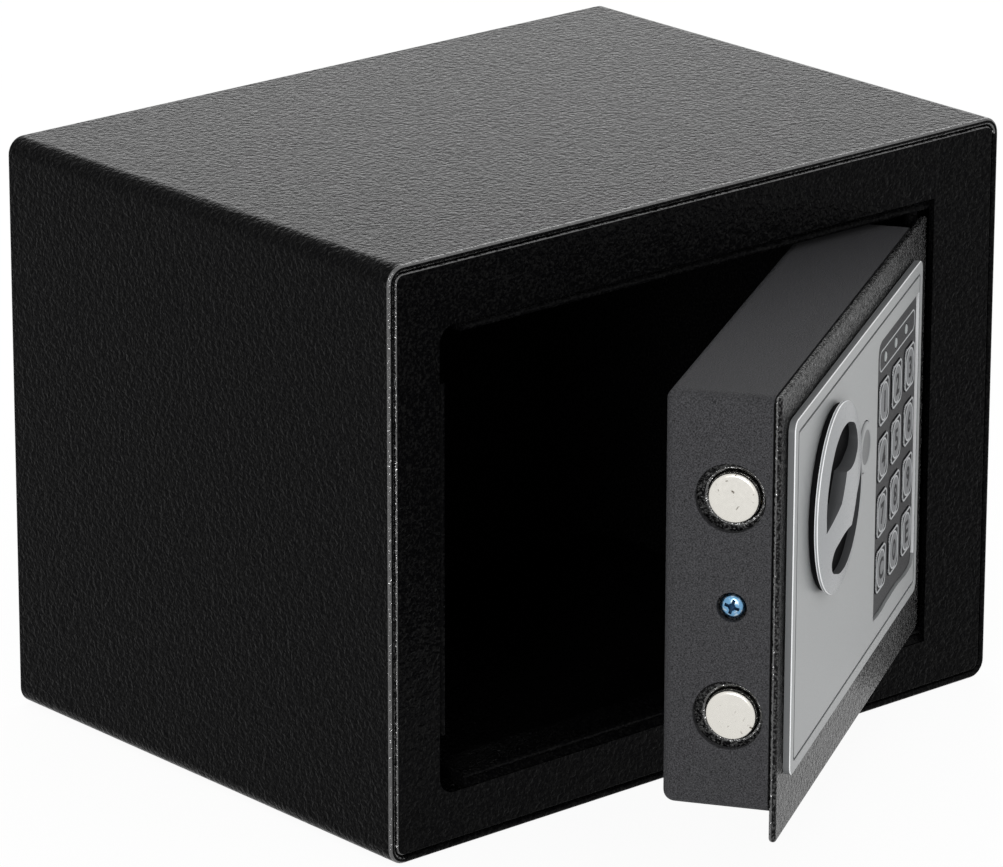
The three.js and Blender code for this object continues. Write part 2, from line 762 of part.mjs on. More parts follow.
function panelOutline(inset) {
  return roundedRect(panelLeft + inset, panelLow + inset, panelRight - inset, panelHigh - inset,
    panelCornerRadius - Math.min(inset, panelCornerRadius * halfShare));
}

function fieldOutline(gap) {
  const left = plateLeft + fieldSetback + gap;
  const right = plateLeft + fieldSetback + fieldWidth - gap;
  const bottom = plateBottom + fieldBottom + gap;
  const top = plateBottom + fieldBottom + fieldHeight - gap;
  const middle = (left + right) * halfShare;
  const shape = new THREE.Shape();
  shape.moveTo(left, bottom + fieldWave * halfShare);
  shape.bezierCurveTo(middle, bottom - fieldWave * halfShare, middle, bottom + fieldWave / halfShare,
    right - fieldCornerRadius, bottom + fieldWave);
  shape.quadraticCurveTo(right, bottom + fieldWave, right, bottom + fieldWave + fieldCornerRadius);
  shape.lineTo(right, top);
  shape.lineTo(left + fieldCornerRadius, top);
  shape.absarc(left + fieldCornerRadius, top - fieldCornerRadius, fieldCornerRadius, quarterTurn, Math.PI);
  return shape;
}

function controlPanel() {
  const rimY = panelFront + panelEdgeBevel;
  const body = prismAlongY(panelOutline(0), rimY, panelBack);
  const face = prismAlongY(panelOutline(panelEdgeBevel), panelFront, rimY + panelEdgeBevel);
  const grooveInner = panelOutline(panelGrooveInset + panelGrooveWidth);
  const groove = cut(
    prismAlongY(panelOutline(panelGrooveInset), panelFront - overrun, panelFront + panelGrooveDepth),
    prismAlongY(grooveInner, panelFront - overrun - overrun, panelBack),
  );
  const through = (radius) => rod(radius, panelFront - overrun, panelBack + overrun);
  return cut(
    join(body, face),
    groove,
    prismAlongY(fieldOutline(0), panelFront - overrun, panelBack + overrun),
    turnedAlongY(through(shaftRadius + runningGap), knobX, knobZ, smallSides),
    turnedAlongY(through(lockCapRadius + runningGap), lockX, lockZ),
  );
}

// Keypad: a field plate with a window for each key
function keyPlaces() {
  const names = [["1", "2", "3"], ["4", "5", "6"], ["7", "8", "9"], ["clear", "0", "enter"]];
  const places = [];
  for (let row = 0; row < keyRows; row += 1) {
    for (let column = 0; column < keyColumns; column += 1) {
      places.push({
        name: `key_${names[row][column]}`,
        x: plateLeft + firstKeySetback + column * keyPitchAcross,
        z: plateBottom + firstKeyHeight - row * keyPitchDown,
      });
    }
  }
  return places;
}

function ledPlaces() {
  const names = ["led_left", "led_middle", "led_right"];
  return names.map((name, index) => ({
    name,
    x: plateLeft + firstLedSetback + index * ledPitch,
    z: plateBottom + ledHeight,
  }));
}

function keyOutline(place, grow) {
  const halfAcross = keyWidth * halfShare + grow;
  const halfUp = keyHeight * halfShare + grow;
  return roundedRect(place.x - halfAcross, place.z - halfUp, place.x + halfAcross, place.z + halfUp,
    keyCornerRadius);
}

function keypadField() {
  const sheet = prismAlongY(fieldOutline(seatGap), fieldFront, panelBack);
  const windows = keyPlaces().map((place) =>
    prismAlongY(keyOutline(place, runningGap), fieldFront - overrun, panelBack + overrun, fewDivisions));
  const drill = rod(ledRadius + seatGap, fieldFront - overrun, panelBack + overrun);
  const lights = ledPlaces().map((place) => turnedAlongY(drill, place.x, place.z, tinySides));
  return cut(sheet, ...windows, ...lights);
}

const boardFront = plateBack + boardStandOff;
const boardBack = boardFront + boardThickness;
const keyFront = fieldFront - keyProud;

function keypadKey(place) {
  const cap = prismAlongY(keyOutline(place, 0), keyFront, keyFront + keyCapThickness, fewDivisions);
  const stem = rod(keyStemRadius, keyFront + keyCapThickness * halfShare, boardFront - keyTravel - seatGap);
  return join(cap, turnedAlongY(stem, place.x, place.z, tinySides));
}

function statusLight(place) {
  const tip = fieldFront - ledProud;
  return turnedAlongY([
    [0, tip], [ledRadius * domeShare, tip + ledProud * halfShare], [ledRadius, fieldFront + ledProud],
    [ledRadius, boardFront - seatGap], [0, boardFront - seatGap],
  ], place.x, place.z, tinySides);
}
const domeShare = 0.8;

// Circuit board: the board on its feet, with a chip, a buzzer and the reset switch
const resetX = plateLeft + resetSetback;
const resetZ = plateBottom + resetHeight;

function circuitBoard() {
  const left = plateLeft + boardSetback;
  const right = left + boardWidth;
  const bottom = plateBottom + boardBottom;
  const top = bottom + boardHeight;
  const inset = boardFootInset;
  const foot = rod(boardFootRadius, plateBack + seatGap, boardBack);
  const feet = [[left + inset, bottom + inset], [right - inset, bottom + inset],
    [left + inset, top - inset], [right - inset, top - inset]];
  const chipX = left + boardWidth * chipAcrossShare;
  const chipZ = bottom + boardHeight * chipUpShare;
  const half = switchSize * halfShare;
  return join(
    block(left, right, boardFront, boardBack, bottom, top),
    ...feet.map(([x, z]) => turnedAlongY(foot, x, z, tinySides)),
    block(chipX, chipX + chipWidth, boardFront, boardBack + chipThickness, chipZ, chipZ + chipHeight),
    turnedAlongY(rod(buzzerRadius, boardFront, boardBack + buzzerHeight),
      left + buzzerRadius + inset, top - buzzerRadius - inset, smallSides),
    block(resetX - half, resetX + half, boardFront, boardBack + switchHeight, resetZ - half, resetZ + half),
  );
}
const chipAcrossShare = 0.4;
const chipUpShare = 0.35;

function resetButton() {
  const stemStart = boardBack + switchHeight + resetTravel + seatGap;
  const headBack = coverBack + resetProud;
  const headFront = headBack - resetHeadLength;
  return turnedAlongY([
    [0, stemStart], [resetStemRadius, stemStart], [resetStemRadius, headFront],
    [resetHeadRadius, headFront], [resetHeadRadius, headBack], [0, headBack],
  ], resetX, resetZ, smallSides);
}

// Emergency lock: a barrel through the plate, a plug with a cam in it, and a cap over the keyhole
const lockFront = plateFront;
const lockBack = lockFront + lockBodyLength;

function lockBarrel() {
  const bore = lockPlugRadius + runningGap;
  return turnedAlongY([
    [bore, lockFront], [lockBodyRadius, lockFront], [lockBodyRadius, lockBack], [bore, lockBack],
    [bore, lockFront],
  ], lockX, lockZ);
}

function lockPlug() {
  const camFront = lockBack + runningGap;
  const plug = turnedAlongY(rod(lockPlugRadius, lockFront + lockPlugRecess, camFront + lockCamThickness),
    lockX, lockZ);
  const half = lockCamWidth * halfShare;
  const cam = roundedRect(lockX - half, lockZ - lockCamReach, lockX + half, lockZ + half, half * halfShare);
  return join(plug, prismAlongY(cam, camFront, camFront + lockCamThickness));
}

function lockCap() {
  const front = panelFront - lockCapProud;
  return turnedAlongY(rod(lockCapRadius, front, front + lockCapThickness), lockX, lockZ);
}

// Solenoid: a coil in a bracket, with a sprung plunger that stops the carriage
const solenoidLeft = plateLeft + solenoidSetback;
const solenoidZ = plateBottom + solenoidHeight;
const solenoidY = plateBack + solenoidStandOff + solenoidSize * halfShare;

function solenoidBody() {
  const half = solenoidSize * halfShare;
  const bracketFront = plateBack + seatGap;
  const body = join(
    block(solenoidLeft, solenoidLeft + solenoidLength, solenoidY - half, solenoidY + half,
      solenoidZ - half, solenoidZ + half),
    block(solenoidLeft, solenoidLeft + solenoidPlate, bracketFront, solenoidY,
      solenoidZ - half, solenoidZ + half),
    block(solenoidLeft, solenoidLeft + solenoidLength, bracketFront, bracketFront + solenoidPlate,
      solenoidZ - half, solenoidZ + half),
    block(solenoidLeft + solenoidLength - solenoidPlate, solenoidLeft + solenoidLength,
      bracketFront, solenoidY, solenoidZ - half, solenoidZ + half),
  );
  const right = solenoidLeft + solenoidLength;
  const bore = rod(plungerRadius + runningGap, solenoidLeft - overrun, right + overrun);
  return cut(body, turnedAlongX(bore, solenoidY, solenoidZ, smallSides));
}

function solenoidPlunger() {
  const right = solenoidLeft + solenoidLength - plungerTravel - seatGap;
  const bar = rod(plungerRadius, solenoidLeft - plungerReach, right);
  return turnedAlongX(bar, solenoidY, solenoidZ, smallSides);
}

// Batteries in their tray, with a contact strip at each end and a lid in the rear cover
function trayLeft() { return plateLeft + traySetback; }
function trayRight() { return trayLeft() + batteryCount * batteryPitch + trayWall / halfShare; }
function trayLow() { return plateBottom + trayBottom; }
function trayHigh() {
  return trayLow() + batteryLength + batteryNubHeight + (trayWall + trayEndRoom) / halfShare;
}
const trayBack = coverInner - seatGap;
const trayFront = trayBack - trayWall - (batteryRadius + runningGap) / halfShare;
const batteryY = trayFront + trayWall + runningGap + batteryRadius;
const batteryLow = trayLow() + trayWall + trayEndRoom;

function batteryTray() {
  return cut(
    block(trayLeft(), trayRight(), trayFront, trayBack, trayLow(), trayHigh()),
    block(trayLeft() + trayWall, trayRight() - trayWall, trayFront + trayWall, trayBack + overrun,
      trayLow() + trayWall, trayHigh() - trayWall),
  );
}

function battery(index) {
  const x = trayLeft() + trayWall + (index + halfShare) * batteryPitch;
  const top = batteryLow + batteryLength;
  const nub = top + batteryNubHeight;
  return turnedAlongZ([
    [0, nub], [batteryNubRadius, nub], [batteryNubRadius, top], [batteryRadius, top],
    [batteryRadius, batteryLow], [0, batteryLow],
  ].reverse(), x, batteryY, smallSides);
}

function contactStrip(low) {
  const half = contactWidth * halfShare;
  return block(trayLeft() + trayWall + seatGap, trayRight() - trayWall - seatGap,
    batteryY - half, batteryY + half, low, low + contactThickness);
}

function batteryDoor() {
  const opening = batteryOpening;
  const middle = (opening.left + opening.right) * halfShare;
  const half = batteryTabWidth * halfShare;
  const lid = block(opening.left + runningGap, opening.right - runningGap, coverInner, coverBack,
    opening.bottom + runningGap, opening.top - runningGap);
  const fingerGroove = block(middle - half, middle + half, coverBack - coverWall * halfShare,
    coverBack + overrun, opening.top - batteryTabHeight / halfShare, opening.top - batteryTabHeight);
  return cut(lid, fingerGroove);
}

// Assembly
const safe = new THREE.Group();
safe.add(
  piece("outer_wrap", blackPowderCoat, outerWrap()),
  piece("front_frame", blackPowderCoat, frontFrame()),
  piece("back_plate", blackPowderCoat, backPlate()),
);

const door = new THREE.Group();
door.position.set(hingeX, hingeY, 0);
door.rotation.z = restOpenAngle;
safe.add(door);

door.add(
  piece("door_plate", blackPowderCoat, doorPlate()),
  piece("door_frame", blackPowderCoat, doorFrame()),
  piece("rear_cover", coverPlastic, rearCover()),
  piece("hinge_lug_lower", blackPowderCoat, hingeLug(lugBottoms.lower)),
  piece("hinge_lug_upper", blackPowderCoat, hingeLug(lugBottoms.upper)),
  piece("hinge_pin_lower", blackPowderCoat, hingePin(openingBottom - pinStandOut, lugBottoms.lower + lugHeight)),
  piece("hinge_pin_upper", blackPowderCoat, hingePin(lugBottoms.upper, openingTop + pinStandOut)),
  piece("cover_screw", blueZinc, coverScrew()),
  piece("guide_screw", zincSteel, guideScrew()),
  piece("bolt_carriage", zincSteel, boltCarriage()),
);
for (const [name, height] of Object.entries(boltHeights)) {
  door.add(piece(name, nickelSteel, bolt(height)));
}

door.add(
  piece("knob", silverPlastic, knob()),
  piece("knob_hub", blackPlastic, knobHub()),
  piece("knob_shaft", zincSteel, knobShaft()),
  piece("knob_bush", brassMetal, knobBush()),
  piece("knob_crank", zincSteel, knobCrank()),
);

door.add(
  piece("control_panel", silverPlastic, controlPanel()),
  piece("keypad_field", fieldPlastic, keypadField()),
  piece("circuit_board", boardGreen, circuitBoard()),
  piece("reset_button", redPlastic, resetButton()),
);
for (const place of keyPlaces()) {
  door.add(piece(place.name, keyRubber, keypadKey(place)));
}
for (const place of ledPlaces()) {
  door.add(piece(place.name, ledPlastic, statusLight(place)));
}

door.add(
  piece("lock_barrel", brassMetal, lockBarrel()),
  piece("lock_plug", nickelSteel, lockPlug()),
  piece("lock_cap", silverPlastic, lockCap()),
  piece("solenoid_body", zincSteel, solenoidBody()),
  piece("solenoid_plunger", nickelSteel, solenoidPlunger()),
);

door.add(
  piece("battery_tray", blackPlastic, batteryTray()),
  piece("battery_door", coverPlastic, batteryDoor()),
  piece("contact_strip_lower", zincSteel, contactStrip(trayLow() + trayWall + seatGap)),
  piece("contact_strip_upper", zincSteel,
    contactStrip(trayHigh() - trayWall - seatGap - contactThickness)),
);
for (let index = 0; index < batteryCount; index += 1) {
  door.add(piece(`battery_${index + 1}`, batteryWrap, battery(index)));
}

export default safe;
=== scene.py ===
# %% [markdown]
# # A small portable car safe
# The safe is a folded steel box with one door. The door stands about a third open and carries a
# turning knob, a keypad, an emergency lock, two round bolts and a moulded rear cover.
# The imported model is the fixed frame: it gives the bodies, the joints and the place of every piece.
# New pieces are drawn in millimetres, as on a workshop drawing, and scaled to metres at the end.

# %% Load the frame
import math

import bmesh
import bpy
from mathutils import Matrix, Vector


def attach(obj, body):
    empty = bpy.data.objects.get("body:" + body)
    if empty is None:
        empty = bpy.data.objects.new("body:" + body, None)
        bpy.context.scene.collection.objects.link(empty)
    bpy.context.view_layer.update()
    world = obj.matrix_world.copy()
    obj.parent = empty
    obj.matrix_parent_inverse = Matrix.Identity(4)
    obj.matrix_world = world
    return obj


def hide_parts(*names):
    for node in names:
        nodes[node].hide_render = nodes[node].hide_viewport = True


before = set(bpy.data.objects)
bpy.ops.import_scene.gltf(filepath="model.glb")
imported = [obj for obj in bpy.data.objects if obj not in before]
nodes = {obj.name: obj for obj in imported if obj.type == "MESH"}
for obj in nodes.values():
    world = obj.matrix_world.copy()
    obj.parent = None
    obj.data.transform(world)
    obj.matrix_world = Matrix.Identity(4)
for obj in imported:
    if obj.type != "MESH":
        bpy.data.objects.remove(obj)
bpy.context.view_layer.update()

# %% [markdown]
# ## Helpers for shaping
# Sheet metal and moulded parts are mostly blocks. They could be drawn by hand in Edit Mode, but
# here a cube is stretched between two corners, so every size stands in the script.

# %% Blocks
MM = 0.001
X, Y, Z = 0, 1, 2


def block(low, high):
    """A block between two corners."""
    low, high = Vector(low), Vector(high)
    shape = bmesh.new()
    bmesh.ops.create_cube(shape, size=1)
    stretch = Matrix.Diagonal((*(high - low), 1))
    place = Matrix.Translation((low + high) / 2) @ stretch
    bmesh.ops.transform(shape, matrix=place, verts=shape.verts)
    return shape


print("a block has", len(block((0, 0, 0), (1, 2, 3)).faces), "faces")

# %% [markdown]
# No real edge is perfectly sharp, and it is the rounded edges that catch the light. A Bevel
# modifier could round all edges alike, but here edges differ in their radius, so they are picked
# by their direction or by the plane that they lie in.

# %% Bevels
STRAIGHT = 0.999
IN_PLANE = 0.01
SHARP_ANGLE = 0.5


def anywhere(middle):
    """Lets every edge pass."""
    return True


def edges_along(shape, axis, keep=anywhere):
    """The edges that run along one axis and whose middle passes a test."""
    found = []
    for edge in shape.edges:
        start, end = edge.verts[0].co, edge.verts[1].co
        run = end - start
        if run.length and abs(run[axis]) > STRAIGHT * run.length and keep((start + end) / 2):
            found.append(edge)
    return found


def rim(shape, axis, value):
    """The sharp edges that lie in the plane where that axis has that value."""
    return [
        edge for edge in shape.edges
        if all(abs(vert.co[axis] - value) < IN_PLANE for vert in edge.verts)
        and len(edge.link_faces) == 2 and edge.calc_face_angle(0) > SHARP_ANGLE
    ]


def round_edges(shape, edges, radius, steps=4):
    """Rounds the edges to a radius."""
    bmesh.ops.bevel(shape, geom=edges, offset=radius, segments=steps, profile=0.5,
                    affect="EDGES", material=-1, clamp_overlap=True)
    return shape


print("upright edges of a block:", len(edges_along(block((0, 0, 0), (1, 2, 3)), Z)))

# %% [markdown]
# Knobs, bolts and screws are round, as a lathe leaves them. A cylinder with extra loops would do
# too, but a half profile that is spun round its axis gives every chamfer at once, and it reads like
# the drawing of the part. A full spin has to merge its last ring with its first.

# %% Turned parts
MERGE = 0.0005


def turned(profile, along, place, steps=64):
    """Spins a profile of (radius, distance) points round a line along one axis through a place."""
    shape = bmesh.new()
    across = (along + 1) % 3
    verts = []
    for radius, distance in profile:
        point = Vector(place)
        point[along] = distance
        point[across] += radius
        verts.append(shape.verts.new(point))
    edges = [shape.edges.new(pair) for pair in zip(verts, verts[1:])]
    axis = Vector((0, 0, 0))
    axis[along] = 1
    bmesh.ops.spin(shape, geom=verts + edges, cent=place, axis=axis, angle=2 * math.pi,
                   steps=steps, use_merge=True)
    bmesh.ops.remove_doubles(shape, verts=shape.verts, dist=MERGE)
    bmesh.ops.recalc_face_normals(shape, faces=shape.faces)
    return shape


def rod(radius, along, start, end, place, steps=64):
    """A plain round bar."""
    return turned([(0, start), (radius, start), (radius, end), (0, end)], along, place, steps)


print("a rod has", len(rod(1, X, 0, 1, (0, 0, 0)).faces), "faces")

# %% [markdown]
# Holes are drilled and flanges are welded on. Each hole could be knitted into the faces by hand,
# but a Boolean modifier is quicker and a size can still change. The exact solver keeps thin walls
# closed. The result is read back from the evaluated object, so no helper object stays behind.

# %% Cutting and joining
CUT_MERGE = 0.0002


def object_of(name, shape):
    """Puts a shape into an object in the scene."""
    mesh = bpy.data.meshes.new(name)
    shape.to_mesh(mesh)
    shape.free()
    thing = bpy.data.objects.new(name, mesh)
    bpy.context.scene.collection.objects.link(thing)
    return thing


def combined(shape, others, operation):
    """The shape after one Boolean modifier for each of the others."""
    body = object_of("body", shape)
    tools = [object_of("tool", other) for other in others]
    for tool in tools:
        modifier = body.modifiers.new("Boolean", "BOOLEAN")
        modifier.operation = operation
        modifier.solver = "EXACT"
        modifier.object = tool
    result = bmesh.new()
    result.from_object(body, bpy.context.evaluated_depsgraph_get())
    for thing in [body, *tools]:
        mesh = thing.data
        bpy.data.objects.remove(thing)
        bpy.data.meshes.remove(mesh)
    bmesh.ops.remove_doubles(result, verts=result.verts, dist=CUT_MERGE)
    return result


def cut(shape, *others):
    """The shape without the others."""
    return combined(shape, others, "DIFFERENCE")


def join(shape, *others):
    """The shape together with the others."""
    return combined(shape, others, "UNION")


drilled = cut(block((0, 0, 0), (4, 4, 4)), rod(1, Z, -1, 5, (2, 2, 0), 16))
print("a drilled block has", len(drilled.faces), "faces")

# %% [markdown]
# ## Flat outlines
# Panels and windows are rounded rectangles. A curve could draw them, but a block whose four long
# edges are bevelled is just as exact and needs only its corners. A ring is a slab with a smaller
# slab cut out.

# %% Slabs
def slab(left, low, right, high, front, back, radius, steps=6, corners=anywhere):
    """A rounded rectangle in the face of the door, from front to back."""
    shape = block((left, front, low), (right, back, high))
    return round_edges(shape, edges_along(shape, Y, corners), radius, steps)


def ring(left, low, right, high, front, back, radius, width):
    """A rounded rectangular ring of that width."""
    outer = slab(left, low, right, high, front, back, radius)
    inner = slab(left + width, low + width, right - width, high - width,
                 front - 1, back + 1, radius - width)
    return cut(outer, inner)


print("a ring has", len(ring(0, 0, 9, 9, 0, 1, 3, 1).faces), "faces")

# %% [markdown]
# Free outlines, such as the wells of the knob, are flat curves first. A list of vertices would need
# dozens of points, where a Bezier curve needs a few. Its extrude setting makes it a solid, which is
# then stood up in the face of the door.

# %% Outlines
def raised(data, front, back):
    """A flat curve or text, drawn in its own XY plane, as a solid in the door's face."""
    data.extrude = (back - front) / 2
    flat = bpy.data.objects.new("flat", data)
    bpy.context.scene.collection.objects.link(flat)
    bpy.context.view_layer.update()
    mesh = bpy.data.meshes.new_from_object(flat)
    shape = bmesh.new()
    shape.from_mesh(mesh)
    bpy.data.objects.remove(flat)
    bpy.data.meshes.remove(mesh)
    quarter = Matrix.Rotation(math.pi / 2, 4, "X")
    stand = Matrix.Translation((0, (front + back) / 2, 0)) @ quarter
    bmesh.ops.transform(shape, matrix=stand, verts=shape.verts)
    bmesh.ops.remove_doubles(shape, verts=shape.verts, dist=MERGE)
    bmesh.ops.recalc_face_normals(shape, faces=shape.faces)
    return shape


def outline(points, front, back):
    """A closed Bezier outline of (x, z, handle) points as a solid."""
    data = bpy.data.curves.new("outline", "CURVE")
    data.dimensions = "2D"
    data.fill_mode = "BOTH"
    data.resolution_u = 8
    spline = data.splines.new("BEZIER")
    spline.bezier_points.add(len(points) - 1)
    spline.use_cyclic_u = True
    for knot, (x, z, handle) in zip(spline.bezier_points, points):
        knot.co = (x, z, 0)
        knot.handle_left_type = knot.handle_right_type = handle
    return raised(data, front, back)


triangle = outline([(0, 0, "VECTOR"), (1, 0, "VECTOR"), (0, 1, "VECTOR")], 0, 1)
print("a triangular outline has", len(triangle.verts), "points")

# %% [markdown]
# The figures on the keys are printed. A texture could carry them, but a text object made into a
# thin solid stays crisp from near by and needs no image. It is centred and scaled by its own size,
# so that every figure has the same height.

# %% Figures
FIGURE_WEIGHT = 0.025


def figure(letter, x, z, height, front, back):
    """One figure, centred at a place and scaled to a height."""
    data = bpy.data.curves.new("figure", "FONT")
    data.body = letter
    data.offset = FIGURE_WEIGHT
    data.resolution_u = 4
    shape = raised(data, front, back)
    low = [min(vert.co[axis] for vert in shape.verts) for axis in (X, Z)]
    high = [max(vert.co[axis] for vert in shape.verts) for axis in (X, Z)]
    scale = height / (high[1] - low[1])
    centre = Matrix.Translation((-(low[0] + high[0]) / 2, 0, -(low[1] + high[1]) / 2))
    size = Matrix.Diagonal((scale, 1, scale, 1))
    place = Matrix.Translation((x, 0, z)) @ size @ centre
    bmesh.ops.transform(shape, matrix=place, verts=shape.verts)
    return shape


print("a figure has", len(figure("3", 0, 0, 7, -1, 0).faces), "faces")

# %% [markdown]
# ## Finishing a piece
# Door pieces are drawn with the door closed, where everything is square, and turned open about the
# hinge line. An empty could turn them instead, but each object has to sit at the origin with its
# place in its mesh. The piece is scaled to metres, given its finishes, smoothed where it is round
# and tied to the body that carries it. Weighted normals keep the flat faces flat beside a bevel.

# %% Finishing
HINGE_LINE = (84, -78.8, 0)
DOOR_ANGLE = 32.8
DOOR_OPEN = Matrix.Translation(HINGE_LINE) @ Matrix.Rotation(math.radians(DOOR_ANGLE), 4, "Z")
CLOSED_BOX = Matrix.Identity(4)


def finished(name, shape, place, body, slot, replaced, *finishes, smooth=35):
    """Makes the final object of a shape, smooth below an angle between its faces."""
    bmesh.ops.transform(shape, matrix=Matrix.Scale(MM, 4) @ place, verts=shape.verts)
    piece = object_of(name, shape)
    for finish in finishes:
        piece.data.materials.append(finish)
    piece.data.shade_smooth()
    piece.data.set_sharp_from_angle(angle=math.radians(smooth))
    weighted = piece.modifiers.new("Even normals", "WEIGHTED_NORMAL")
    weighted.keep_sharp = True
    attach(piece, body)
    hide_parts(*replaced)
    print(name, len(piece.data.vertices), "points")
    return piece


print("the door stands open by", DOOR_ANGLE, "degrees")

# %% [markdown]
# Some pieces carry more than one finish: a coat that is thicker on a bent edge, painted shade in a
# groove, on a wall or in a hollow, a painted highlight on a bevel, or print on a key. A painted mask
# could tell them apart, but each is bounded by edges of the shape, so whole faces are given a finish
# by where they are and which way they point.

# %% Faces with another finish
def mark_faces(shape, number, test):
    """Gives a finish number to the faces whose centre and normal pass a test."""
    for face in shape.faces:
        if test(face.calc_center_median(), face.normal):
            face.material_index = number


def slopes(normal, low=0.05, high=0.98):
    """Whether a face points partly forward or back, as a bevel does."""
    return low < abs(normal.y) < high


def off_line(point, place, along):
    """How far a point is from the line along one axis through a place."""
    away = point - Vector(place)
    away[along] = 0
    return away.length


def put_together(*shapes):
    """Several shapes in one mesh, each with its own finish number."""
    whole = bmesh.new()
    for shape, number in shapes:
        for face in shape.faces:
            face.material_index = number
        mesh = bpy.data.meshes.new("part")
        shape.to_mesh(mesh)
        shape.free()
        whole.from_mesh(mesh)
        bpy.data.meshes.remove(mesh)
    return whole


pair = put_together((block((0, 0, 0), (1, 1, 1)), 0), (block((2, 0, 0), (3, 1, 1)), 1))
print("two blocks together have", len(pair.faces), "faces")

# %% [markdown]
# ## Finishes
# Every finish starts from a Principled shader. An image could give the grain, but noise on Object
# coordinates has its real size in metres on every piece and needs no unwrapping. A Bump node turns
# it into relief, and the same noise can vary the colour and the roughness.

# %% Finish helpers
def new_finish(name, colour, roughness, metallic=0.0, ior=1.5):
    """A material with a plain Principled shader."""
    finish = bpy.data.materials.new(name)
    finish.use_nodes = True
    shader = shader_of(finish)
    shader.inputs["Base Color"].default_value = (*colour, 1)
    shader.inputs["Roughness"].default_value = roughness
    shader.inputs["Metallic"].default_value = metallic
    shader.inputs["IOR"].default_value = ior
    return finish


def shader_of(finish):
    """The material's Principled shader."""
    return finish.node_tree.nodes["Principled BSDF"]


def pattern(finish, size, detail=2.0, distortion=0.0):
    """Noise with features of about that size in millimetres."""
    tree = finish.node_tree
    place = tree.nodes.new("ShaderNodeTexCoord")
    noise = tree.nodes.new("ShaderNodeTexNoise")
    noise.inputs["Scale"].default_value = 1 / (size * MM)
    noise.inputs["Detail"].default_value = detail
    noise.inputs["Distortion"].default_value = distortion
    tree.links.new(place.outputs["Object"], noise.inputs["Vector"])
    return noise.outputs["Fac"]


def between(finish, value, low, high, start, end):
    """Spreads a pattern's range from low to high over start to end."""
    tree = finish.node_tree
    spread = tree.nodes.new("ShaderNodeMapRange")
    tree.links.new(value, spread.inputs["Value"])
    spread.inputs["From Min"].default_value = low
    spread.inputs["From Max"].default_value = high
    spread.inputs["To Min"].default_value = start
    spread.inputs["To Max"].default_value = end
    return spread.outputs["Result"]


print("noise of 1 mm has the scale", 1 / MM)

# %% [markdown]
# A pattern can drive the relief, the colour and the roughness of one finish. Real grain does all
# three at once, which is why a single noise in the colour alone looks printed. Bumps are stacked:
# each new one takes the normal of the one before.

# %% Relief, colour and gloss
def add_relief(finish, value, depth):
    """Bump of that depth in millimetres, on top of any bump that is there."""
    tree = finish.node_tree
    bump = tree.nodes.new("ShaderNodeBump")
    bump.inputs["Distance"].default_value = depth * MM
    bump.inputs["Strength"].default_value = 1.0
    normal = shader_of(finish).inputs["Normal"]
    if normal.is_linked:
        tree.links.new(normal.links[0].from_socket, bump.inputs["Normal"])
    tree.links.new(value, bump.inputs["Height"])
    tree.links.new(bump.outputs["Normal"], normal)


def add_colours(finish, value, first, second):
    """Base colour that goes from the first to the second colour with a pattern."""
    tree = finish.node_tree
    mix = tree.nodes.new("ShaderNodeMix")
    mix.data_type = "RGBA"
    mix.inputs["A"].default_value = (*first, 1)
    mix.inputs["B"].default_value = (*second, 1)
    tree.links.new(value, mix.inputs["Factor"])
    tree.links.new(mix.outputs["Result"], shader_of(finish).inputs["Base Color"])


def add_roughness(finish, value):
    """Roughness that follows a value."""
    finish.node_tree.links.new(value, shader_of(finish).inputs["Roughness"])


print("a pattern drives", add_relief.__name__, add_colours.__name__, add_roughness.__name__)

# %% [markdown]
# ### Black powder coat
# The steel is powder coated. The melting powder flows into soft wrinkles a millimetre or so across.
# They are far too many to model, so slightly distorted noise gives them as relief, with a finer
# grain and small pale flecks over it: partly the real flecks of the powder, partly painted glints.
# The black comes in three coats. The body's has a low index of refraction, because its sides stay
# nearly black beside a white floor and sky. The coat of the door mirrors more and has paler flecks,
# so more painted glints, and the thick coat on bent and bevelled edges sparkles.

# %% Powder coat
BLACK = (0.0015, 0.0015, 0.0017)
COAT_ROUGHNESS, SMOOTHEST, ROUGHEST = 0.16, 0.14, 0.2
FINE_GRAIN, FINE_DEPTH = 0.4, 0.02
SPECK_GLINT_SIZE, SPECK_GLINT_RANGE = 0.7, (0.48, 0.66)
MIDDLE_OF_NOISE = (0.3, 0.7)


def powder_coat(name, ior, wrinkle, depth, speck_glint_grey):
    """A glossy black coat: wrinkles of a size and depth in millimetres, pale flecks of a grey that
    are partly real and partly painted glints.
    """
    finish = new_finish(name, BLACK, COAT_ROUGHNESS, ior=ior)
    wrinkles = pattern(finish, wrinkle, detail=1.5, distortion=0.5)
    add_relief(finish, wrinkles, depth)
    add_relief(finish, pattern(finish, FINE_GRAIN), FINE_DEPTH)
    # Pale flecks: partly real flecks in the powder, partly painted glints that stand in for sparkle.
    speck_glints = between(finish, pattern(finish, SPECK_GLINT_SIZE), *SPECK_GLINT_RANGE, 0, 1)
    add_colours(finish, speck_glints, BLACK, (speck_glint_grey, speck_glint_grey, speck_glint_grey))
    add_roughness(finish, between(finish, wrinkles, *MIDDLE_OF_NOISE, SMOOTHEST, ROUGHEST))
    return finish


coat = powder_coat("black powder coat", ior=1.085, wrinkle=1.4, depth=0.45, speck_glint_grey=0.006)
door_coat = powder_coat("door powder coat", ior=1.18, wrinkle=1.1, depth=0.55, speck_glint_grey=0.055)
edge_coat = powder_coat("thick edge coat", ior=2.0, wrinkle=1.0, depth=0.6, speck_glint_grey=0.02)
print("coats:", coat.name, door_coat.name, edge_coat.name)

# %% [markdown]
# ### Moulded plastics and paint
# The rear cover is matt and finely grained, as a spark-eroded mould leaves it. One flat colour
# would look like card, so two noises vary the colour and the gloss and a third one gives the
# relief. The other plastics are smoother mouldings with the same recipe.

# %% Plastics
COLOUR_PATCH, GLOSS_PATCH = 1.5, 2
GLOSS_LOW, GLOSS_HIGH = 0.85, 1.15


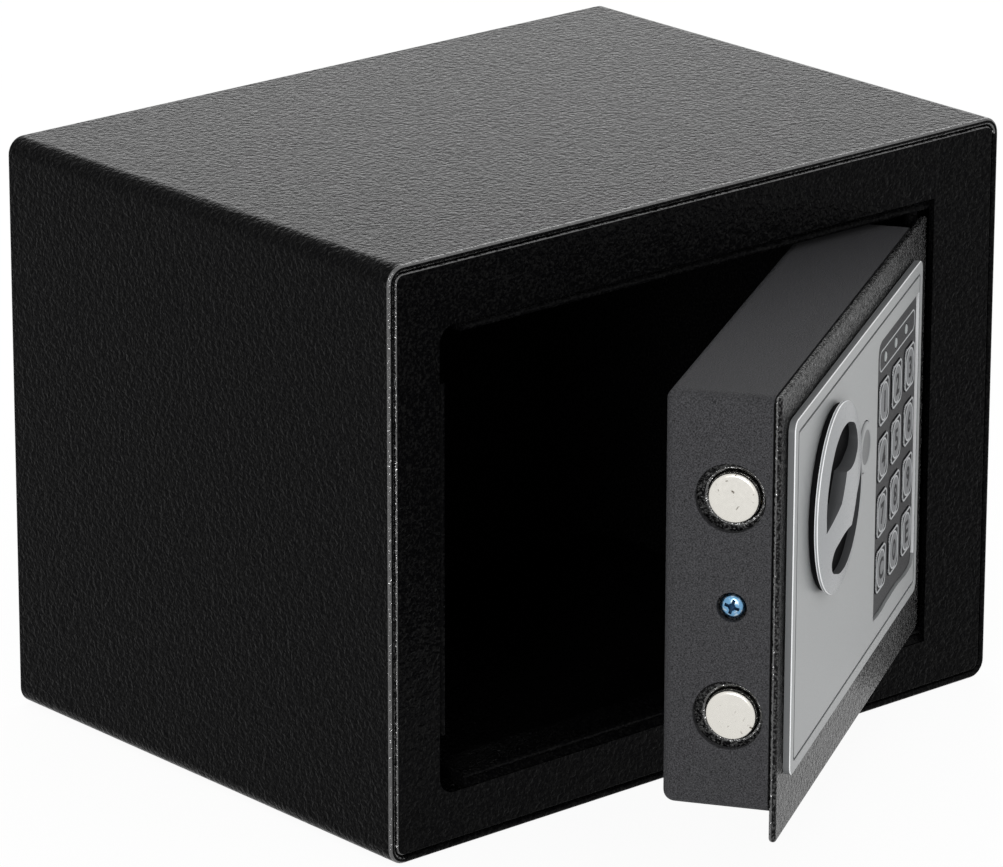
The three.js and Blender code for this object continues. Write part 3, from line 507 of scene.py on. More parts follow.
def moulded(name, colour, roughness, grain, depth, spread, ior=1.5):
    """A plastic or paint: grain and relief in millimetres, spread as a share of the colour."""
    finish = new_finish(name, colour, roughness, ior=ior)
    add_relief(finish, pattern(finish, grain, detail=3), depth)
    lighter = tuple(min(1, channel * (1 + spread)) for channel in colour)
    darker = tuple(channel * (1 - spread) for channel in colour)
    shades = between(finish, pattern(finish, grain * COLOUR_PATCH), *MIDDLE_OF_NOISE, 0, 1)
    add_colours(finish, shades, darker, lighter)
    low, high = roughness * GLOSS_LOW, min(1, roughness * GLOSS_HIGH)
    gloss = between(finish, pattern(finish, grain * GLOSS_PATCH), *MIDDLE_OF_NOISE, low, high)
    add_roughness(finish, gloss)
    return finish


# The values are colour, roughness, grain, relief, spread of the colour, index of refraction.
cover_grain = moulded("rear cover plastic", (0.04, 0.04, 0.0425), 0.5, 0.26, 0.35, 0.6, 1.12)
black_moulding = moulded("black moulding", (0.006, 0.006, 0.0065), 0.5, 0.3, 0.02, 0.15, 1.05)
red_moulding = moulded("red moulding", (0.45, 0.02, 0.018), 0.4, 0.3, 0.01, 0.06)
lens = moulded("clear lens", (0.26, 0.28, 0.28), 0.2, 0.5, 0.002, 0.04)
print("plastics:", cover_grain.name, black_moulding.name, red_moulding.name, lens.name)

# %% [markdown]
# The panel, the knob and the keyhole cover are sprayed satin silver. Their side walls, the walls
# of the wells and the hollow of the keyhole cover are given painted shade, a darker grey for the
# shade that falls there, and the small bevels a painted highlight, a near-white grey. A shader could
# work that out from the angle, but a paint of its own for each is plainer, and a face can be given
# the right one.

# %% Silver paints
FLAKE = 0.12
silver = moulded("silver paint", (0.27, 0.278, 0.281), 0.34, FLAKE, 0.004, 0.04, 1.35)
knob_silver = moulded("metallic paint", (0.27, 0.278, 0.287), 0.3, FLAKE, 0.003, 0.04, 1.35)
# Painted shade and painted highlight: darker greys for the well walls, the panel's outer sides, the
# keyhole cover's hollow and the groove's floor, a near-white grey for the bevels.
well_painted_shade = moulded("well wall painted shade", (0.07, 0.072, 0.075), 0.4, FLAKE, 0.003, 0.04, 1.25)
silver_painted_shade = moulded("silver painted shade", (0.13, 0.134, 0.137), 0.4, FLAKE, 0.003, 0.04, 1.25)
silver_painted_highlight = moulded("silver painted highlight", (0.8, 0.81, 0.82), 0.3, FLAKE, 0.003, 0.04)
groove_painted_shade = moulded("shaded groove", (0.008, 0.008, 0.009), 0.7, 0.2, 0.004, 0.1)
print("paints:", silver.name, well_painted_shade.name, silver_painted_shade.name, groove_painted_shade.name)

# %% [markdown]
# The keypad is printed in greys on a matt film. Every grey is its own material, because the prints
# are separate thin solids and need no mask.

# %% Keypad prints
PRINT = 0.2
film_grey = moulded("keypad film", (0.028, 0.028, 0.03), 0.5, PRINT, 0.006, 0.06, 1.2)
key_grey = moulded("key grey", (0.17, 0.174, 0.18), 0.5, PRINT, 0.005, 0.06, 1.2)
key_line = moulded("key outline", (0.42, 0.43, 0.44), 0.5, PRINT, 0.003, 0.04, 1.2)
key_dark = moulded("key dark print", (0.015, 0.015, 0.017), 0.5, PRINT, 0.003, 0.05, 1.15)
print("prints:", film_grey.name, key_grey.name, key_line.name, key_dark.name)

# %% [markdown]
# ### Metals
# The bolts are nickel plated and show small worn spots. The screw is blue zinc, with painted shade
# inside its cross, the inner steel parts are plain zinc and the barrel of the lock is brass.
# Scratches could be modelled, but at this size the wear reads as spots of colour and an uneven gloss.

# %% Metals
WEAR_TOP, WEAR_STEP, WEAR_SHIFT = 0.72, 0.08, 0.5
HANDLED, HANDLED_LOW, HANDLED_HIGH = 1.2, 0.75, 1.25
TURNING, TURNING_DEPTH = 0.25, 0.004


def plated(name, colour, roughness, worn, worn_share, spot):
    """A metal with spots of a worn colour, of a size in millimetres."""
    finish = new_finish(name, colour, roughness, metallic=1.0)
    blotches = pattern(finish, spot, detail=4, distortion=0.6)
    low = WEAR_TOP - worn_share * WEAR_SHIFT
    add_colours(finish, between(finish, blotches, low, low + WEAR_STEP, 0, 1), colour, worn)
    gloss = pattern(finish, HANDLED, detail=3)
    add_roughness(finish, between(finish, gloss, *MIDDLE_OF_NOISE,
                                  roughness * HANDLED_LOW, roughness * HANDLED_HIGH))
    add_relief(finish, pattern(finish, TURNING, detail=3), TURNING_DEPTH)
    return finish


# The values are colour, roughness, worn colour, share that is worn, size of the spots.
nickel = plated("nickel plate", (0.72, 0.70, 0.65), 0.24, (0.10, 0.08, 0.06), 0.14, 1.8)
zinc = plated("zinc plate", (0.62, 0.64, 0.66), 0.35, (0.42, 0.43, 0.45), 0.3, 4)
blue_zinc = plated("blue zinc plate", (0.16, 0.34, 0.54), 0.28, (0.45, 0.58, 0.70), 0.4, 1.2)
# A dark blue for the inside of the screw's cross, as painted shade.
blue_painted_shade = plated("shaded blue zinc", (0.012, 0.035, 0.075), 0.5, (0.02, 0.05, 0.1), 0.3, 1.2)
brass = plated("brass", (0.72, 0.52, 0.24), 0.3, (0.55, 0.38, 0.18), 0.3, 3)
print("metals:", nickel.name, zinc.name, blue_zinc.name, blue_painted_shade.name, brass.name)

# %% [markdown]
# ## The body
# The floor, sides and roof are one folded and welded sheet, 2 mm thick. A flat sheet could be
# folded step by step, but a block is simpler: its four long edges are rounded to the fold, it loses
# its front and back, and Solidify gives the wall. The bevel of the front rim shows the thick coat
# along the top and the left.

# %% Folded wrap
HALF_WIDTH, HEIGHT, HALF_DEPTH, SHEET = 114, 170, 83, 2
FOLD, WRAP_RIM = 5, 0.9


def open_shell(shape, wall):
    """Takes the front and back off a block and gives its sides a wall."""
    ends = [face for face in shape.faces if abs(face.normal.y) > 0.9]
    bmesh.ops.delete(shape, geom=ends, context="FACES_ONLY")
    bmesh.ops.recalc_face_normals(shape, faces=shape.faces)
    bmesh.ops.solidify(shape, geom=shape.faces[:], thickness=wall)
    bmesh.ops.recalc_face_normals(shape, faces=shape.faces)
    return shape


def top_or_left(middle):
    """Whether a place is at the top or the left edge of the body."""
    return middle.x < -HALF_WIDTH + FOLD or middle.z > HEIGHT - FOLD


wrap = block((-HALF_WIDTH, -HALF_DEPTH, 0), (HALF_WIDTH, HALF_DEPTH, HEIGHT))
round_edges(wrap, edges_along(wrap, Y), FOLD, 10)
open_shell(wrap, SHEET)
round_edges(wrap, rim(wrap, Y, -HALF_DEPTH) + rim(wrap, Y, HALF_DEPTH), WRAP_RIM, 5)
mark_faces(wrap, 1, lambda middle, normal: middle.y < -HALF_DEPTH + 1
           and slopes(normal) and top_or_left(middle))
finished("body_wrap", wrap, CLOSED_BOX, "cabinet", "black_coat", ["outer_wrap"], coat, edge_coat)

# %% [markdown]
# The front sheet sits in the wrap with a fine seam. Round its opening the sheet is bent inwards
# over a 3 mm radius. A bevel on the opening's edge would round it but give no flange, so each
# flange is an L whose two corners are rounded, extruded along the edge and joined to the sheet.

# %% Flanges
FRONT, SEAM, BEND, LAP = -83, 0.3, 3, 0.6
SWAP_X_Z = Matrix(((0, 0, 1, 0), (0, 1, 0, 0), (1, 0, 0, 0), (0, 0, 0, 1)))


def set_in(gap, front, back):
    """A sheet that fills the wrap with that gap all round."""
    return slab(-HALF_WIDTH + SHEET + gap, SHEET + gap, HALF_WIDTH - SHEET - gap,
                HEIGHT - SHEET - gap, front, back, BEND - gap)


def flange(depth, start, end, place):
    """An L section, rounded at its bend, from start to end along X and then put in place."""
    shape = bmesh.new()
    foot = -BEND - 2 * LAP
    corners = [(0, foot), (0, 0), (depth, 0), (depth, -SHEET), (SHEET, -SHEET), (SHEET, foot)]
    verts = [shape.verts.new((start, FRONT + back, up)) for back, up in corners]
    bmesh.ops.contextual_create(shape, geom=verts)
    for number, radius in ((1, BEND), (4, BEND - SHEET)):
        bmesh.ops.bevel(shape, geom=[verts[number]], offset=radius, segments=8, profile=0.5,
                        affect="VERTICES", material=-1)
    run = bmesh.ops.extrude_face_region(shape, geom=shape.faces[:])
    moved = [part for part in run["geom"] if isinstance(part, bmesh.types.BMVert)]
    bmesh.ops.translate(shape, vec=(end - start, 0, 0), verts=moved)
    bmesh.ops.transform(shape, matrix=place, verts=shape.verts)
    bmesh.ops.recalc_face_normals(shape, faces=shape.faces)
    return shape


print("a flange has", len(flange(14, 0, 9, CLOSED_BOX).faces), "faces")

# %% [markdown]
# The opening is cut into the sheet a little wider than it ends up, by the bend and a small lap, so
# that the flanges fill the rest. The sill, the head and the left jamb are one flange each, mirrored
# or turned by a matrix. The right side has none, since the hinge needs the room. The hinge pin runs
# in a hole of its own.

# %% Front sheet
OPEN_LEFT, OPEN_RIGHT, OPEN_LOW, OPEN_HIGH = -92.8, 88.8, 20, 146.6
SILL_DEPTH, JAMB_DEPTH = 14, 5.4
SILL_START, JAMB_INSET = 6, 13
SHEET_RIM, WINDOW_CORNER, PIN_HOLE = 0.7, 5, 2.1


def at_left(middle):
    """Whether an edge is on the left of the body."""
    return middle.x < 0


sheet = set_in(SEAM, FRONT, FRONT + SHEET)
round_edges(sheet, rim(sheet, Y, FRONT), SHEET_RIM)
window = slab(OPEN_LEFT - BEND - LAP, OPEN_LOW - BEND - LAP, OPEN_RIGHT, OPEN_HIGH + BEND + LAP,
              FRONT - 1, FRONT + 3, WINDOW_CORNER, 8, at_left)
sill = flange(SILL_DEPTH, OPEN_LEFT + SILL_START, OPEN_RIGHT + LAP,
              Matrix.Translation((0, 0, OPEN_LOW)))
head = flange(SILL_DEPTH, OPEN_LEFT + SILL_START, OPEN_RIGHT + LAP,
              Matrix.Translation((0, 0, OPEN_HIGH)) @ Matrix.Diagonal((1, 1, -1, 1)))
jamb = flange(JAMB_DEPTH, OPEN_LOW + JAMB_INSET, OPEN_HIGH - JAMB_INSET,
              Matrix.Translation((OPEN_LEFT, 0, 0)) @ SWAP_X_Z)
sheet = join(cut(sheet, window), sill, head, jamb)
sheet = cut(sheet, rod(PIN_HOLE, Z, 0, HEIGHT, HINGE_LINE, 24))
mark_faces(sheet, 1, lambda middle, normal: slopes(normal) and top_or_left(middle))
finished("front_sheet", sheet, CLOSED_BOX, "cabinet", "black_coat", ["front_frame"],
         coat, edge_coat, smooth=25)

# %% [markdown]
# The back is a plain sheet with two holes for fixing bolts, welded in all round. The weld could be
# a bead of its own, but it is ground flush and coated, so a thin step in the same piece is enough.

# %% Back sheet
HOLES_APART, HOLE_RADIUS, WELD_LAP, BACK_RIM = 120, 5, -0.1, 0.4
back = set_in(SEAM, HALF_DEPTH - SHEET, HALF_DEPTH)
round_edges(back, rim(back, Y, HALF_DEPTH), BACK_RIM, 3)
back = join(back, set_in(WELD_LAP, HALF_DEPTH - SHEET, HALF_DEPTH - 1))
back = cut(back, *[rod(HOLE_RADIUS, Y, HALF_DEPTH - 3, HALF_DEPTH + 1,
                       (side * HOLES_APART / 2, 0, HEIGHT / 2), 32) for side in (-1, 1)])
finished("back_sheet", back, CLOSED_BOX, "cabinet", "black_coat", ["back_plate"], coat)

# %% [markdown]
# ## The door
# From here every piece is drawn with the door closed, round its hinge line. What sits on the plate
# needs a hole in it, so the places of the knob, the lock, the keys and the lights come first. The
# keys stand in three columns and four rows, so two short lists place all twelve.

# %% Places on the door
KNOB = (-125.4, 0, 103.0)
LOCK = (-84.4, 0, 103.7)
COLUMNS = (-58.8, -42.6, -26.4)
ROWS = (108.9, 92.5, 76.1, 59.7)
FIGURES = ("1", "2", "3", "4", "5", "6", "7", "8", "9", "clear", "0", "enter")
KEYS = {name: (COLUMNS[number % 3], ROWS[number // 3]) for number, name in enumerate(FIGURES)}
LIGHTS = {"left": -56.2, "middle": -43.2, "right": -30.2}
LIGHT_Z = 121.0
print("keys:", len(KEYS), "lights:", len(LIGHTS))

# %% [markdown]
# The door plate is a flat sheet with small round corners, punched for the knob's shaft, the lock
# and the stems of the keys and lights. Each hole could be a cut of its own, but one list of drills
# makes them all at once. The coat is thick on the left back edge, which glints in a dotted line.

# %% Door plate
PLATE_LEFT, PLATE_RIGHT, PLATE_LOW, PLATE_HIGH = -173, 1.5, 20.9, 145.4
PLATE_FRONT, PLATE_BACK, PLATE_CORNER, PLATE_RIM = -4.2, -2.2, 1.5, 0.9
SHAFT_HOLE, LOCK_HOLE, STEM_HOLE, LIGHT_HOLE = 6, 8.3, 2.5, 1.9
DRILL = (-6, 0)

plate = slab(PLATE_LEFT, PLATE_LOW, PLATE_RIGHT, PLATE_HIGH, PLATE_FRONT, PLATE_BACK,
             PLATE_CORNER)
round_edges(plate, rim(plate, Y, PLATE_FRONT) + rim(plate, Y, PLATE_BACK), PLATE_RIM, 5)
drills = [rod(SHAFT_HOLE, Y, *DRILL, KNOB, 32), rod(LOCK_HOLE, Y, *DRILL, LOCK, 32)]
drills += [rod(STEM_HOLE, Y, *DRILL, (x, 0, z), 16) for x, z in KEYS.values()]
drills += [rod(LIGHT_HOLE, Y, *DRILL, (x, 0, LIGHT_Z), 16) for x in LIGHTS.values()]
plate = cut(plate, *drills)
mark_faces(plate, 1, lambda middle, normal: middle.x < PLATE_LEFT + 1
           and middle.y > PLATE_BACK - PLATE_RIM and normal.y > 0.05)
finished("door_sheet", plate, DOOR_OPEN, "door", "black_coat", ["door_plate"],
         door_coat, edge_coat)

# %% [markdown]
# The door frame is a shallow pan behind the plate, and its left wall guides the bolts. It is made
# as the wrap is, from a block that becomes an open shell. Its bolt holes have a small rolled edge,
# so the drill is a turned profile that is wider at the outside and not a plain rod.

# %% Door frame
BOLT_Y, BOLTS_Z = 8.6, {"lower": 56.0, "upper": 116.7}
SCREW = (0, BOLT_Y, 86.5)
PAN_CORNER, PAN_WALL, SCREW_HOLE = 1.2, 1.5, 1.9
BOLT_DRILL = [(0, -172), (8.1, -172), (8.1, -170.7), (7.5, -170.5), (7.3, -170), (7.3, -168),
              (0, -168)]

pan = block((-170.7, -1.9, 31.5), (-11.3, 22.1, 142.8))
round_edges(pan, edges_along(pan, Y), PAN_CORNER)
open_shell(pan, PAN_WALL)
holes = [turned(BOLT_DRILL, X, (0, BOLT_Y, z), 48) for z in BOLTS_Z.values()]
pan = cut(pan, *holes, rod(SCREW_HOLE, X, -172, -10, SCREW, 24))
mark_faces(pan, 1, lambda middle, normal: middle.x < -169 and abs(normal.x) < 0.98)
finished("door_pan", pan, DOOR_OPEN, "door", "black_coat", ["door_frame"], door_coat, edge_coat)

# %% [markdown]
# The rear cover is one moulding, open toward the plate, with rounded back edges. Solidify could
# give its wall, but a smaller block that is cut out makes the wall and the openings in one step.
# Round holes leave room for the bolts and the screws, and a square one takes the battery door.

# %% Rear cover
COVER_BACK, COVER_CORNER, INNER_CORNER = 27.3, 3.2, 1
BOLT_ROOM, SCREW_ROOM, RESET_HOLE = 9.6, 4.15, 3.3
LEFT_WALL, RIGHT_WALL, BACK_WALL = (-174, -170.5), (-11.5, -8), (24, 28)
BATTERY_DOOR = ((-76.54, 24, 35.0), (-17.54, 28, 86.8))
RESET = (-25.4, 0, 124.5)

cover = block((-173, -1.9, 29.2), (-9, COVER_BACK, 145.1))
round_edges(cover, rim(cover, Y, COVER_BACK) + edges_along(cover, Y), COVER_CORNER, 8)
inside = slab(-171, 31.2, -11, 143.1, -3, COVER_BACK - 2, INNER_CORNER)
openings = [rod(BOLT_ROOM, X, *LEFT_WALL, (0, 9.3, z)) for z in BOLTS_Z.values()]
openings += [rod(SCREW_ROOM, X, *wall, SCREW, 40) for wall in (LEFT_WALL, RIGHT_WALL)]
openings += [block(*BATTERY_DOOR), rod(RESET_HOLE, Y, *BACK_WALL, RESET, 32)]
cover = cut(cover, inside, *openings)
finished("cover_shell", cover, DOOR_OPEN, "door", "cover_plastic", ["rear_cover"], cover_grain)

# %% [markdown]
# ## Hinge, screw and bolts
# Two ears are welded to the plate and turn on two short pins. An ear is a block that is rounded at
# its free end and drilled for its pin, and a pin is a turned bar with chamfered ends. The two
# hinges differ in little but their height, so one loop makes both.

# %% Hinge
EAR_HEIGHT, EAR_ROUND = 12.5, 1.4
PIN_RADIUS, PIN_CHAMFER = 1.8, 0.3
HINGES = (("lower", 25.8, (17.2, 38.3)), ("upper", 128, (128, 149.4)))

for name, low, (start, end) in HINGES:
    ear = block((-6.8, -1.9, low), (2.9, 3.1, low + EAR_HEIGHT))
    round_edges(ear, edges_along(ear, Z, lambda middle: middle.x > 0), EAR_ROUND, 5)
    ear = cut(ear, rod(PIN_HOLE, Z, low - 1, low + 14, (0, 0, 0), 32))
    finished(f"hinge_ear_{name}", ear, DOOR_OPEN, "door", "black_coat", [f"hinge_lug_{name}"], coat)
    pin = turned([(0, start), (1.5, start), (PIN_RADIUS, start + PIN_CHAMFER),
                  (PIN_RADIUS, end - PIN_CHAMFER), (1.5, end), (0, end)], Z, (0, 0, 0), 32)
    finished(f"hinge_rod_{name}", pin, DOOR_OPEN, "door", "black_coat", [f"hinge_pin_{name}"], coat)

# %% [markdown]
# The cover screw has a low domed head with a cross for the driver. Its head and shank are one spun
# profile. The cross is two thin blocks and a small tapered pit, cut out together, and the screw is
# turned a little, since nobody lines a screw up.

# %% Cover screw
CROSS_SHORT, CROSS_LONG, SCREW_TURN = 0.45, 2.1, 0.3
SCREW_PROFILE = [(0, -172.82), (1.4, -172.75), (2.5, -172.5), (3.2, -172.0), (3.5, -171.5),
                 (3.5, -171), (1.6, -171), (1.6, -165.4), (1.2, -165), (0, -165)]

screw = turned(SCREW_PROFILE, X, SCREW, 40)
cross = [block((-174, SCREW[Y] - y, SCREW[Z] - z), (-171.7, SCREW[Y] + y, SCREW[Z] + z))
         for y, z in ((CROSS_SHORT, CROSS_LONG), (CROSS_LONG, CROSS_SHORT))]
pit = turned([(0, -174), (1.3, -174), (0.9, -171.9), (0, -171.5)], X, SCREW, 16)
screw = cut(screw, *cross, pit)
# The faces inside the cross get the dark blue, as painted shade.
mark_faces(screw, 1, lambda middle, normal: -172.35 < middle.x < -171.4
           and off_line(middle, SCREW, X) < 2.2)
centre = Matrix.Translation(SCREW)
turn = centre @ Matrix.Rotation(SCREW_TURN, 4, "X") @ centre.inverted()
finished("end_screw", screw, DOOR_OPEN @ turn, "door", "blue_zinc", ["cover_screw"],
         blue_zinc, blue_painted_shade)

# %% [markdown]
# Each bolt is a turned bar with a rounded end and a thinner stem that rivets it to the carriage.
# The end is drawn with five short steps, because it is the brightest spot of the door and a single
# chamfer would show as a hard line.

# %% Bolts
BOLT_PROFILE = [(0, -173), (5.9, -173), (6.35, -172.93), (6.75, -172.7), (6.95, -172.3),
                (7, -171.8), (7, -150.5), (3, -150.5), (3, -147), (2.7, -146.7), (0, -146.7)]

for name, z in BOLTS_Z.items():
    bar = turned(BOLT_PROFILE, X, (0, BOLT_Y, z), 72)
    finished(f"round_bolt_{name}", bar, DOOR_OPEN, "bolt_set", "nickel", [f"bolt_{name}"], nickel)

# %% [markdown]
# ## The knob
# The knob is a shallow crowned disc. Two comma-shaped wells leave an S-shaped bar for the fingers.
# It could be sculpted from a grid, but a disc that is spun from its profile has an exact crown, and
# the crown's height is one number.

# %% Knob disc
KNOB_RADIUS, WELL_RADIUS, RIM_BACK, RIM_FRONT, CROWN = 26.15, 20.5, -8.2, -9.2, 3

profile = [(0, RIM_BACK), (25.75, RIM_BACK), (26.05, RIM_BACK - 0.1),
           (KNOB_RADIUS, RIM_BACK - 0.35), (KNOB_RADIUS, RIM_FRONT + 0.2),
           (26.0, RIM_FRONT - 0.05), (25.7, RIM_FRONT - 0.15)]
for share in (0.94, 0.88, 0.8, 0.7, 0.6, 0.5, 0.4, 0.3, 0.2, 0.1, 0):
    profile.append((KNOB_RADIUS * share, RIM_FRONT - CROWN * (1 - share * share)))
disc = turned(profile, Y, KNOB, 128)
print("the disc has", len(disc.faces), "faces")

# %% [markdown]
# A well is a Bezier outline on a unit circle: its rim follows the disc, and its inner side is the
# wavy edge of the bar. It is widened to its radius, and the second well is the first one turned by
# half a turn, so both stay alike. Cutting them, as a mould would, keeps their walls upright.

# %% Finger wells
WELL_CUT, WALL_REACH = (-14, -6), 24


def on_rim(degrees, handle):
    """A point of the well's outline on the unit circle."""
    return (math.cos(math.radians(degrees)), math.sin(math.radians(degrees)), handle)


bar = [(0.655, 0.575, "AUTO"), (0.42, 0.45, "AUTO"), (0.13, 0.40, "AUTO"),
       (-0.17, 0.42, "VECTOR"), (-0.44, 0.07, "VECTOR")]
arc = [on_rim(degrees, "AUTO") for degrees in range(170, 49, -20)]
well = outline([on_rim(190, "VECTOR"), *arc, *bar], *WELL_CUT)
widen = Matrix.Diagonal((WELL_RADIUS, 1, WELL_RADIUS, 1))
bmesh.ops.transform(well, matrix=widen, verts=well.verts)
other = well.copy()
bmesh.ops.transform(other, matrix=Matrix.Rotation(math.pi, 4, "Y"), verts=other.verts)
for shape in (well, other):
    bmesh.ops.translate(shape, vec=KNOB, verts=shape.verts)
disc = cut(disc, well, other)
# The walls of the wells get a darker grey, as painted shade.
mark_faces(disc, 1, lambda middle, normal: abs(normal.y) < 0.3
           and off_line(middle, KNOB, Y) < WALL_REACH)
print("the cut disc has", len(disc.faces), "faces")

# %% [markdown]
# The rims of the wells are bevelled after the cut, because they catch the light in a thin bright
# line. Only edges that lie in the crowned face are taken. Tiny edges that the cut left behind are
# dissolved first, as a bevel would fold over on them, and a gap that is left is filled.

# %% Knob rims
WELL_RIM, RIM_ANGLE = 0.3, 0.8
CUT_CRUMBS, RIM_CRUMBS = 0.02, 0.002

bmesh.ops.dissolve_degenerate(disc, edges=disc.edges[:], dist=CUT_CRUMBS)
sharp = []
for edge in disc.edges:
    start, end = edge.verts[0].co, edge.verts[1].co
    flat = abs(end.y - start.y) < 0.5 * edge.calc_length()
    in_face = (start.y + end.y) / 2 < RIM_FRONT + 0.2
    if flat and in_face and edge.calc_face_angle(0) > RIM_ANGLE:
        sharp.append(edge)
print("well rim edges:", len(sharp))
round_edges(disc, sharp, WELL_RIM, 2)
bmesh.ops.dissolve_degenerate(disc, edges=disc.edges[:], dist=RIM_CRUMBS)
gaps = [edge for edge in disc.edges if edge.is_boundary]
bmesh.ops.holes_fill(disc, edges=gaps, sides=0)
# The bevelled rims get a near-white grey, as a painted highlight.
mark_faces(disc, 2, lambda middle, normal: slopes(normal, 0.35, 0.93))
finished("turn_knob", disc, DOOR_OPEN, "knob_set", "silver_plastic", ["knob"],
         knob_silver, well_painted_shade, silver_painted_highlight)

# %% [markdown]
# Behind the disc sits a black hub, almost as wide. It closes the wells from behind, so they look
# black and deep. It is a plain turned disc, since only its rim and its flat face can be seen.

# %% Knob hub
hub = turned([(0, -6.6), (25, -6.6), (25.3, -6.8), (25.3, -7.9), (25, -8.1), (0, -8.1)],
             Y, KNOB, 96)
finished("knob_back", hub, DOOR_OPEN, "knob_set", "black_plastic", ["knob_hub"], black_moulding)

# %% [markdown]
# ## The face panel
# The panel has a window for the keypad whose lower edge is slightly wavy. The film in it has the
# same outline a little smaller, so one function draws both, with a gap as its first value.

# %% Keypad outline
FIELD_LEFT, FIELD_LOW, FIELD_RIGHT, FIELD_HIGH = -69, 46.9, -17.4, 128.2


def field_outline(gap, front, back):
    """The keypad's field: wavy below, round at its top left and its lower right corner."""
    left, right, low, high = FIELD_LEFT + gap, FIELD_RIGHT - gap, FIELD_LOW + gap, FIELD_HIGH - gap
    return outline(
        [(left, high - 4, "VECTOR"), (left, low + 0.4, "VECTOR"),
         (left + 9, low - 0.1, "AUTO"), (left + 20, low + 0.4, "AUTO"),
         (left + 31, low + 0.6, "AUTO"), (right - 5, low + 0.1, "AUTO"),
         (right - 0.9, low + 1.2, "AUTO"), (right, low + 3.6, "VECTOR"), (right, high, "VECTOR"),
         (left + 4, high, "VECTOR"), (left + 1.15, high - 1.15, "AUTO")],
        front, back)


print("the window is", FIELD_RIGHT - FIELD_LEFT, "mm wide")

# %% [markdown]
# The panel is a moulded slab with a soft front rim and a fine groove a little way in. The groove is
# a ring that is cut out, which shades itself from any side, and its floor is also given a near-black
# painted shade. The window and the holes for the shaft and the keyhole are cut last. Its bevels and
# the wall of the window toward the hinge get a painted highlight, and its outer sides painted shade.

# %% Control panel
PANEL_LEFT, PANEL_LOW, PANEL_RIGHT, PANEL_HIGH = -166.8, 37.7, -13.3, 136.9
PANEL_FRONT, PANEL_BACK, PANEL_CORNER, PANEL_RIM = -6.5, -4.5, 3, 0.3
GROOVE_IN, GROOVE_DEPTH, GROOVE_WIDTH, GROOVE_CORNER = 3.2, 0.6, 0.8, 1.5
KEYHOLE, PANEL_SHAFT_HOLE = 7.5, 4.3
THROUGH = (-8, -3)


def at_side(middle):
    """Whether a face is on the outside of the panel."""
    return (middle.x < PANEL_LEFT + PANEL_CORNER or middle.x > PANEL_RIGHT - PANEL_CORNER
            or middle.z < PANEL_LOW + PANEL_CORNER or middle.z > PANEL_HIGH - PANEL_CORNER)


panel = slab(PANEL_LEFT, PANEL_LOW, PANEL_RIGHT, PANEL_HIGH, PANEL_FRONT, PANEL_BACK,
             PANEL_CORNER, 8)
round_edges(panel, rim(panel, Y, PANEL_FRONT), PANEL_RIM, 3)
groove = ring(PANEL_LEFT + GROOVE_IN, PANEL_LOW + GROOVE_IN, PANEL_RIGHT - GROOVE_IN,
              PANEL_HIGH - GROOVE_IN, PANEL_FRONT - 1, PANEL_FRONT + GROOVE_DEPTH,
              GROOVE_CORNER, GROOVE_WIDTH)
panel = cut(panel, groove)
# The floor of the groove gets a near-black painted shade.
mark_faces(panel, 1, lambda middle, normal: normal.y < -0.9
           and abs(middle.y - PANEL_FRONT - GROOVE_DEPTH) < IN_PLANE)
panel = cut(panel, field_outline(0, *THROUGH), rod(PANEL_SHAFT_HOLE, Y, *THROUGH, KNOB, 32),
            rod(KEYHOLE, Y, *THROUGH, LOCK))
# The wall of the window toward the hinge and the bevels of the front rim get a painted highlight.
mark_faces(panel, 2, lambda middle, normal: abs(middle.x - FIELD_RIGHT) < 0.1 and normal.x < -0.9)
mark_faces(panel, 2, lambda middle, normal: middle.y < PANEL_FRONT + PANEL_RIM
           and slopes(normal, 0.1, 0.95))
# The outer side walls get a darker grey, as painted shade.
mark_faces(panel, 3, lambda middle, normal: abs(normal.y) < 0.1
           and middle.y > PANEL_FRONT + 0.5 and at_side(middle))
finished("face_panel", panel, DOOR_OPEN, "door", "silver_plastic", ["control_panel"],
         silver, groove_painted_shade, silver_painted_highlight, silver_painted_shade)

# %% [markdown]
# A small round cover hides the emergency keyhole. It is turned, with a raised rim round a slightly
# hollow middle, which is given a darker grey as painted shade. One profile gives the rim and the
# hollow together.

# %% Keyhole cover
HOLLOW = 4.6
cap = turned([(0, -5.5), (7.2, -5.5), (7.2, -6.7), (6.95, -7.0), (6.6, -7.1), (5.2, -7.1),
              (4.9, -6.95), (3, -6.75), (0, -6.7)], Y, LOCK, 72)
# The hollow middle gets a darker grey, as painted shade.
mark_faces(cap, 1, lambda middle, normal: middle.y < -6 and off_line(middle, LOCK, Y) < HOLLOW)
finished("keyhole_cover", cap, DOOR_OPEN, "keyhole_cap", "silver_plastic", ["lock_cap"],
         silver, silver_painted_shade)

# %% [markdown]
# ## The keypad
# The keypad is a grey film in the panel's window, with a window of its own for every key and light.
# A thin light frame is printed round the three lights. It stands 0.06 mm proud, as print does, and
# so it needs no texture.

# %% Keypad field
FIELD_FRONT, FILM_GAP, LIGHT_WINDOW = -5.7, 0.3, 1.75
WINDOW_HALF_WIDE, WINDOW_HALF_HIGH, KEY_WINDOW_CORNER = 6.05, 6.5, 2.4
FRAME_CORNER, FRAME_WIDTH, FRAME_RISE = 2.4, 0.4, 0.06
THROUGH_FILM = (-7, -4)

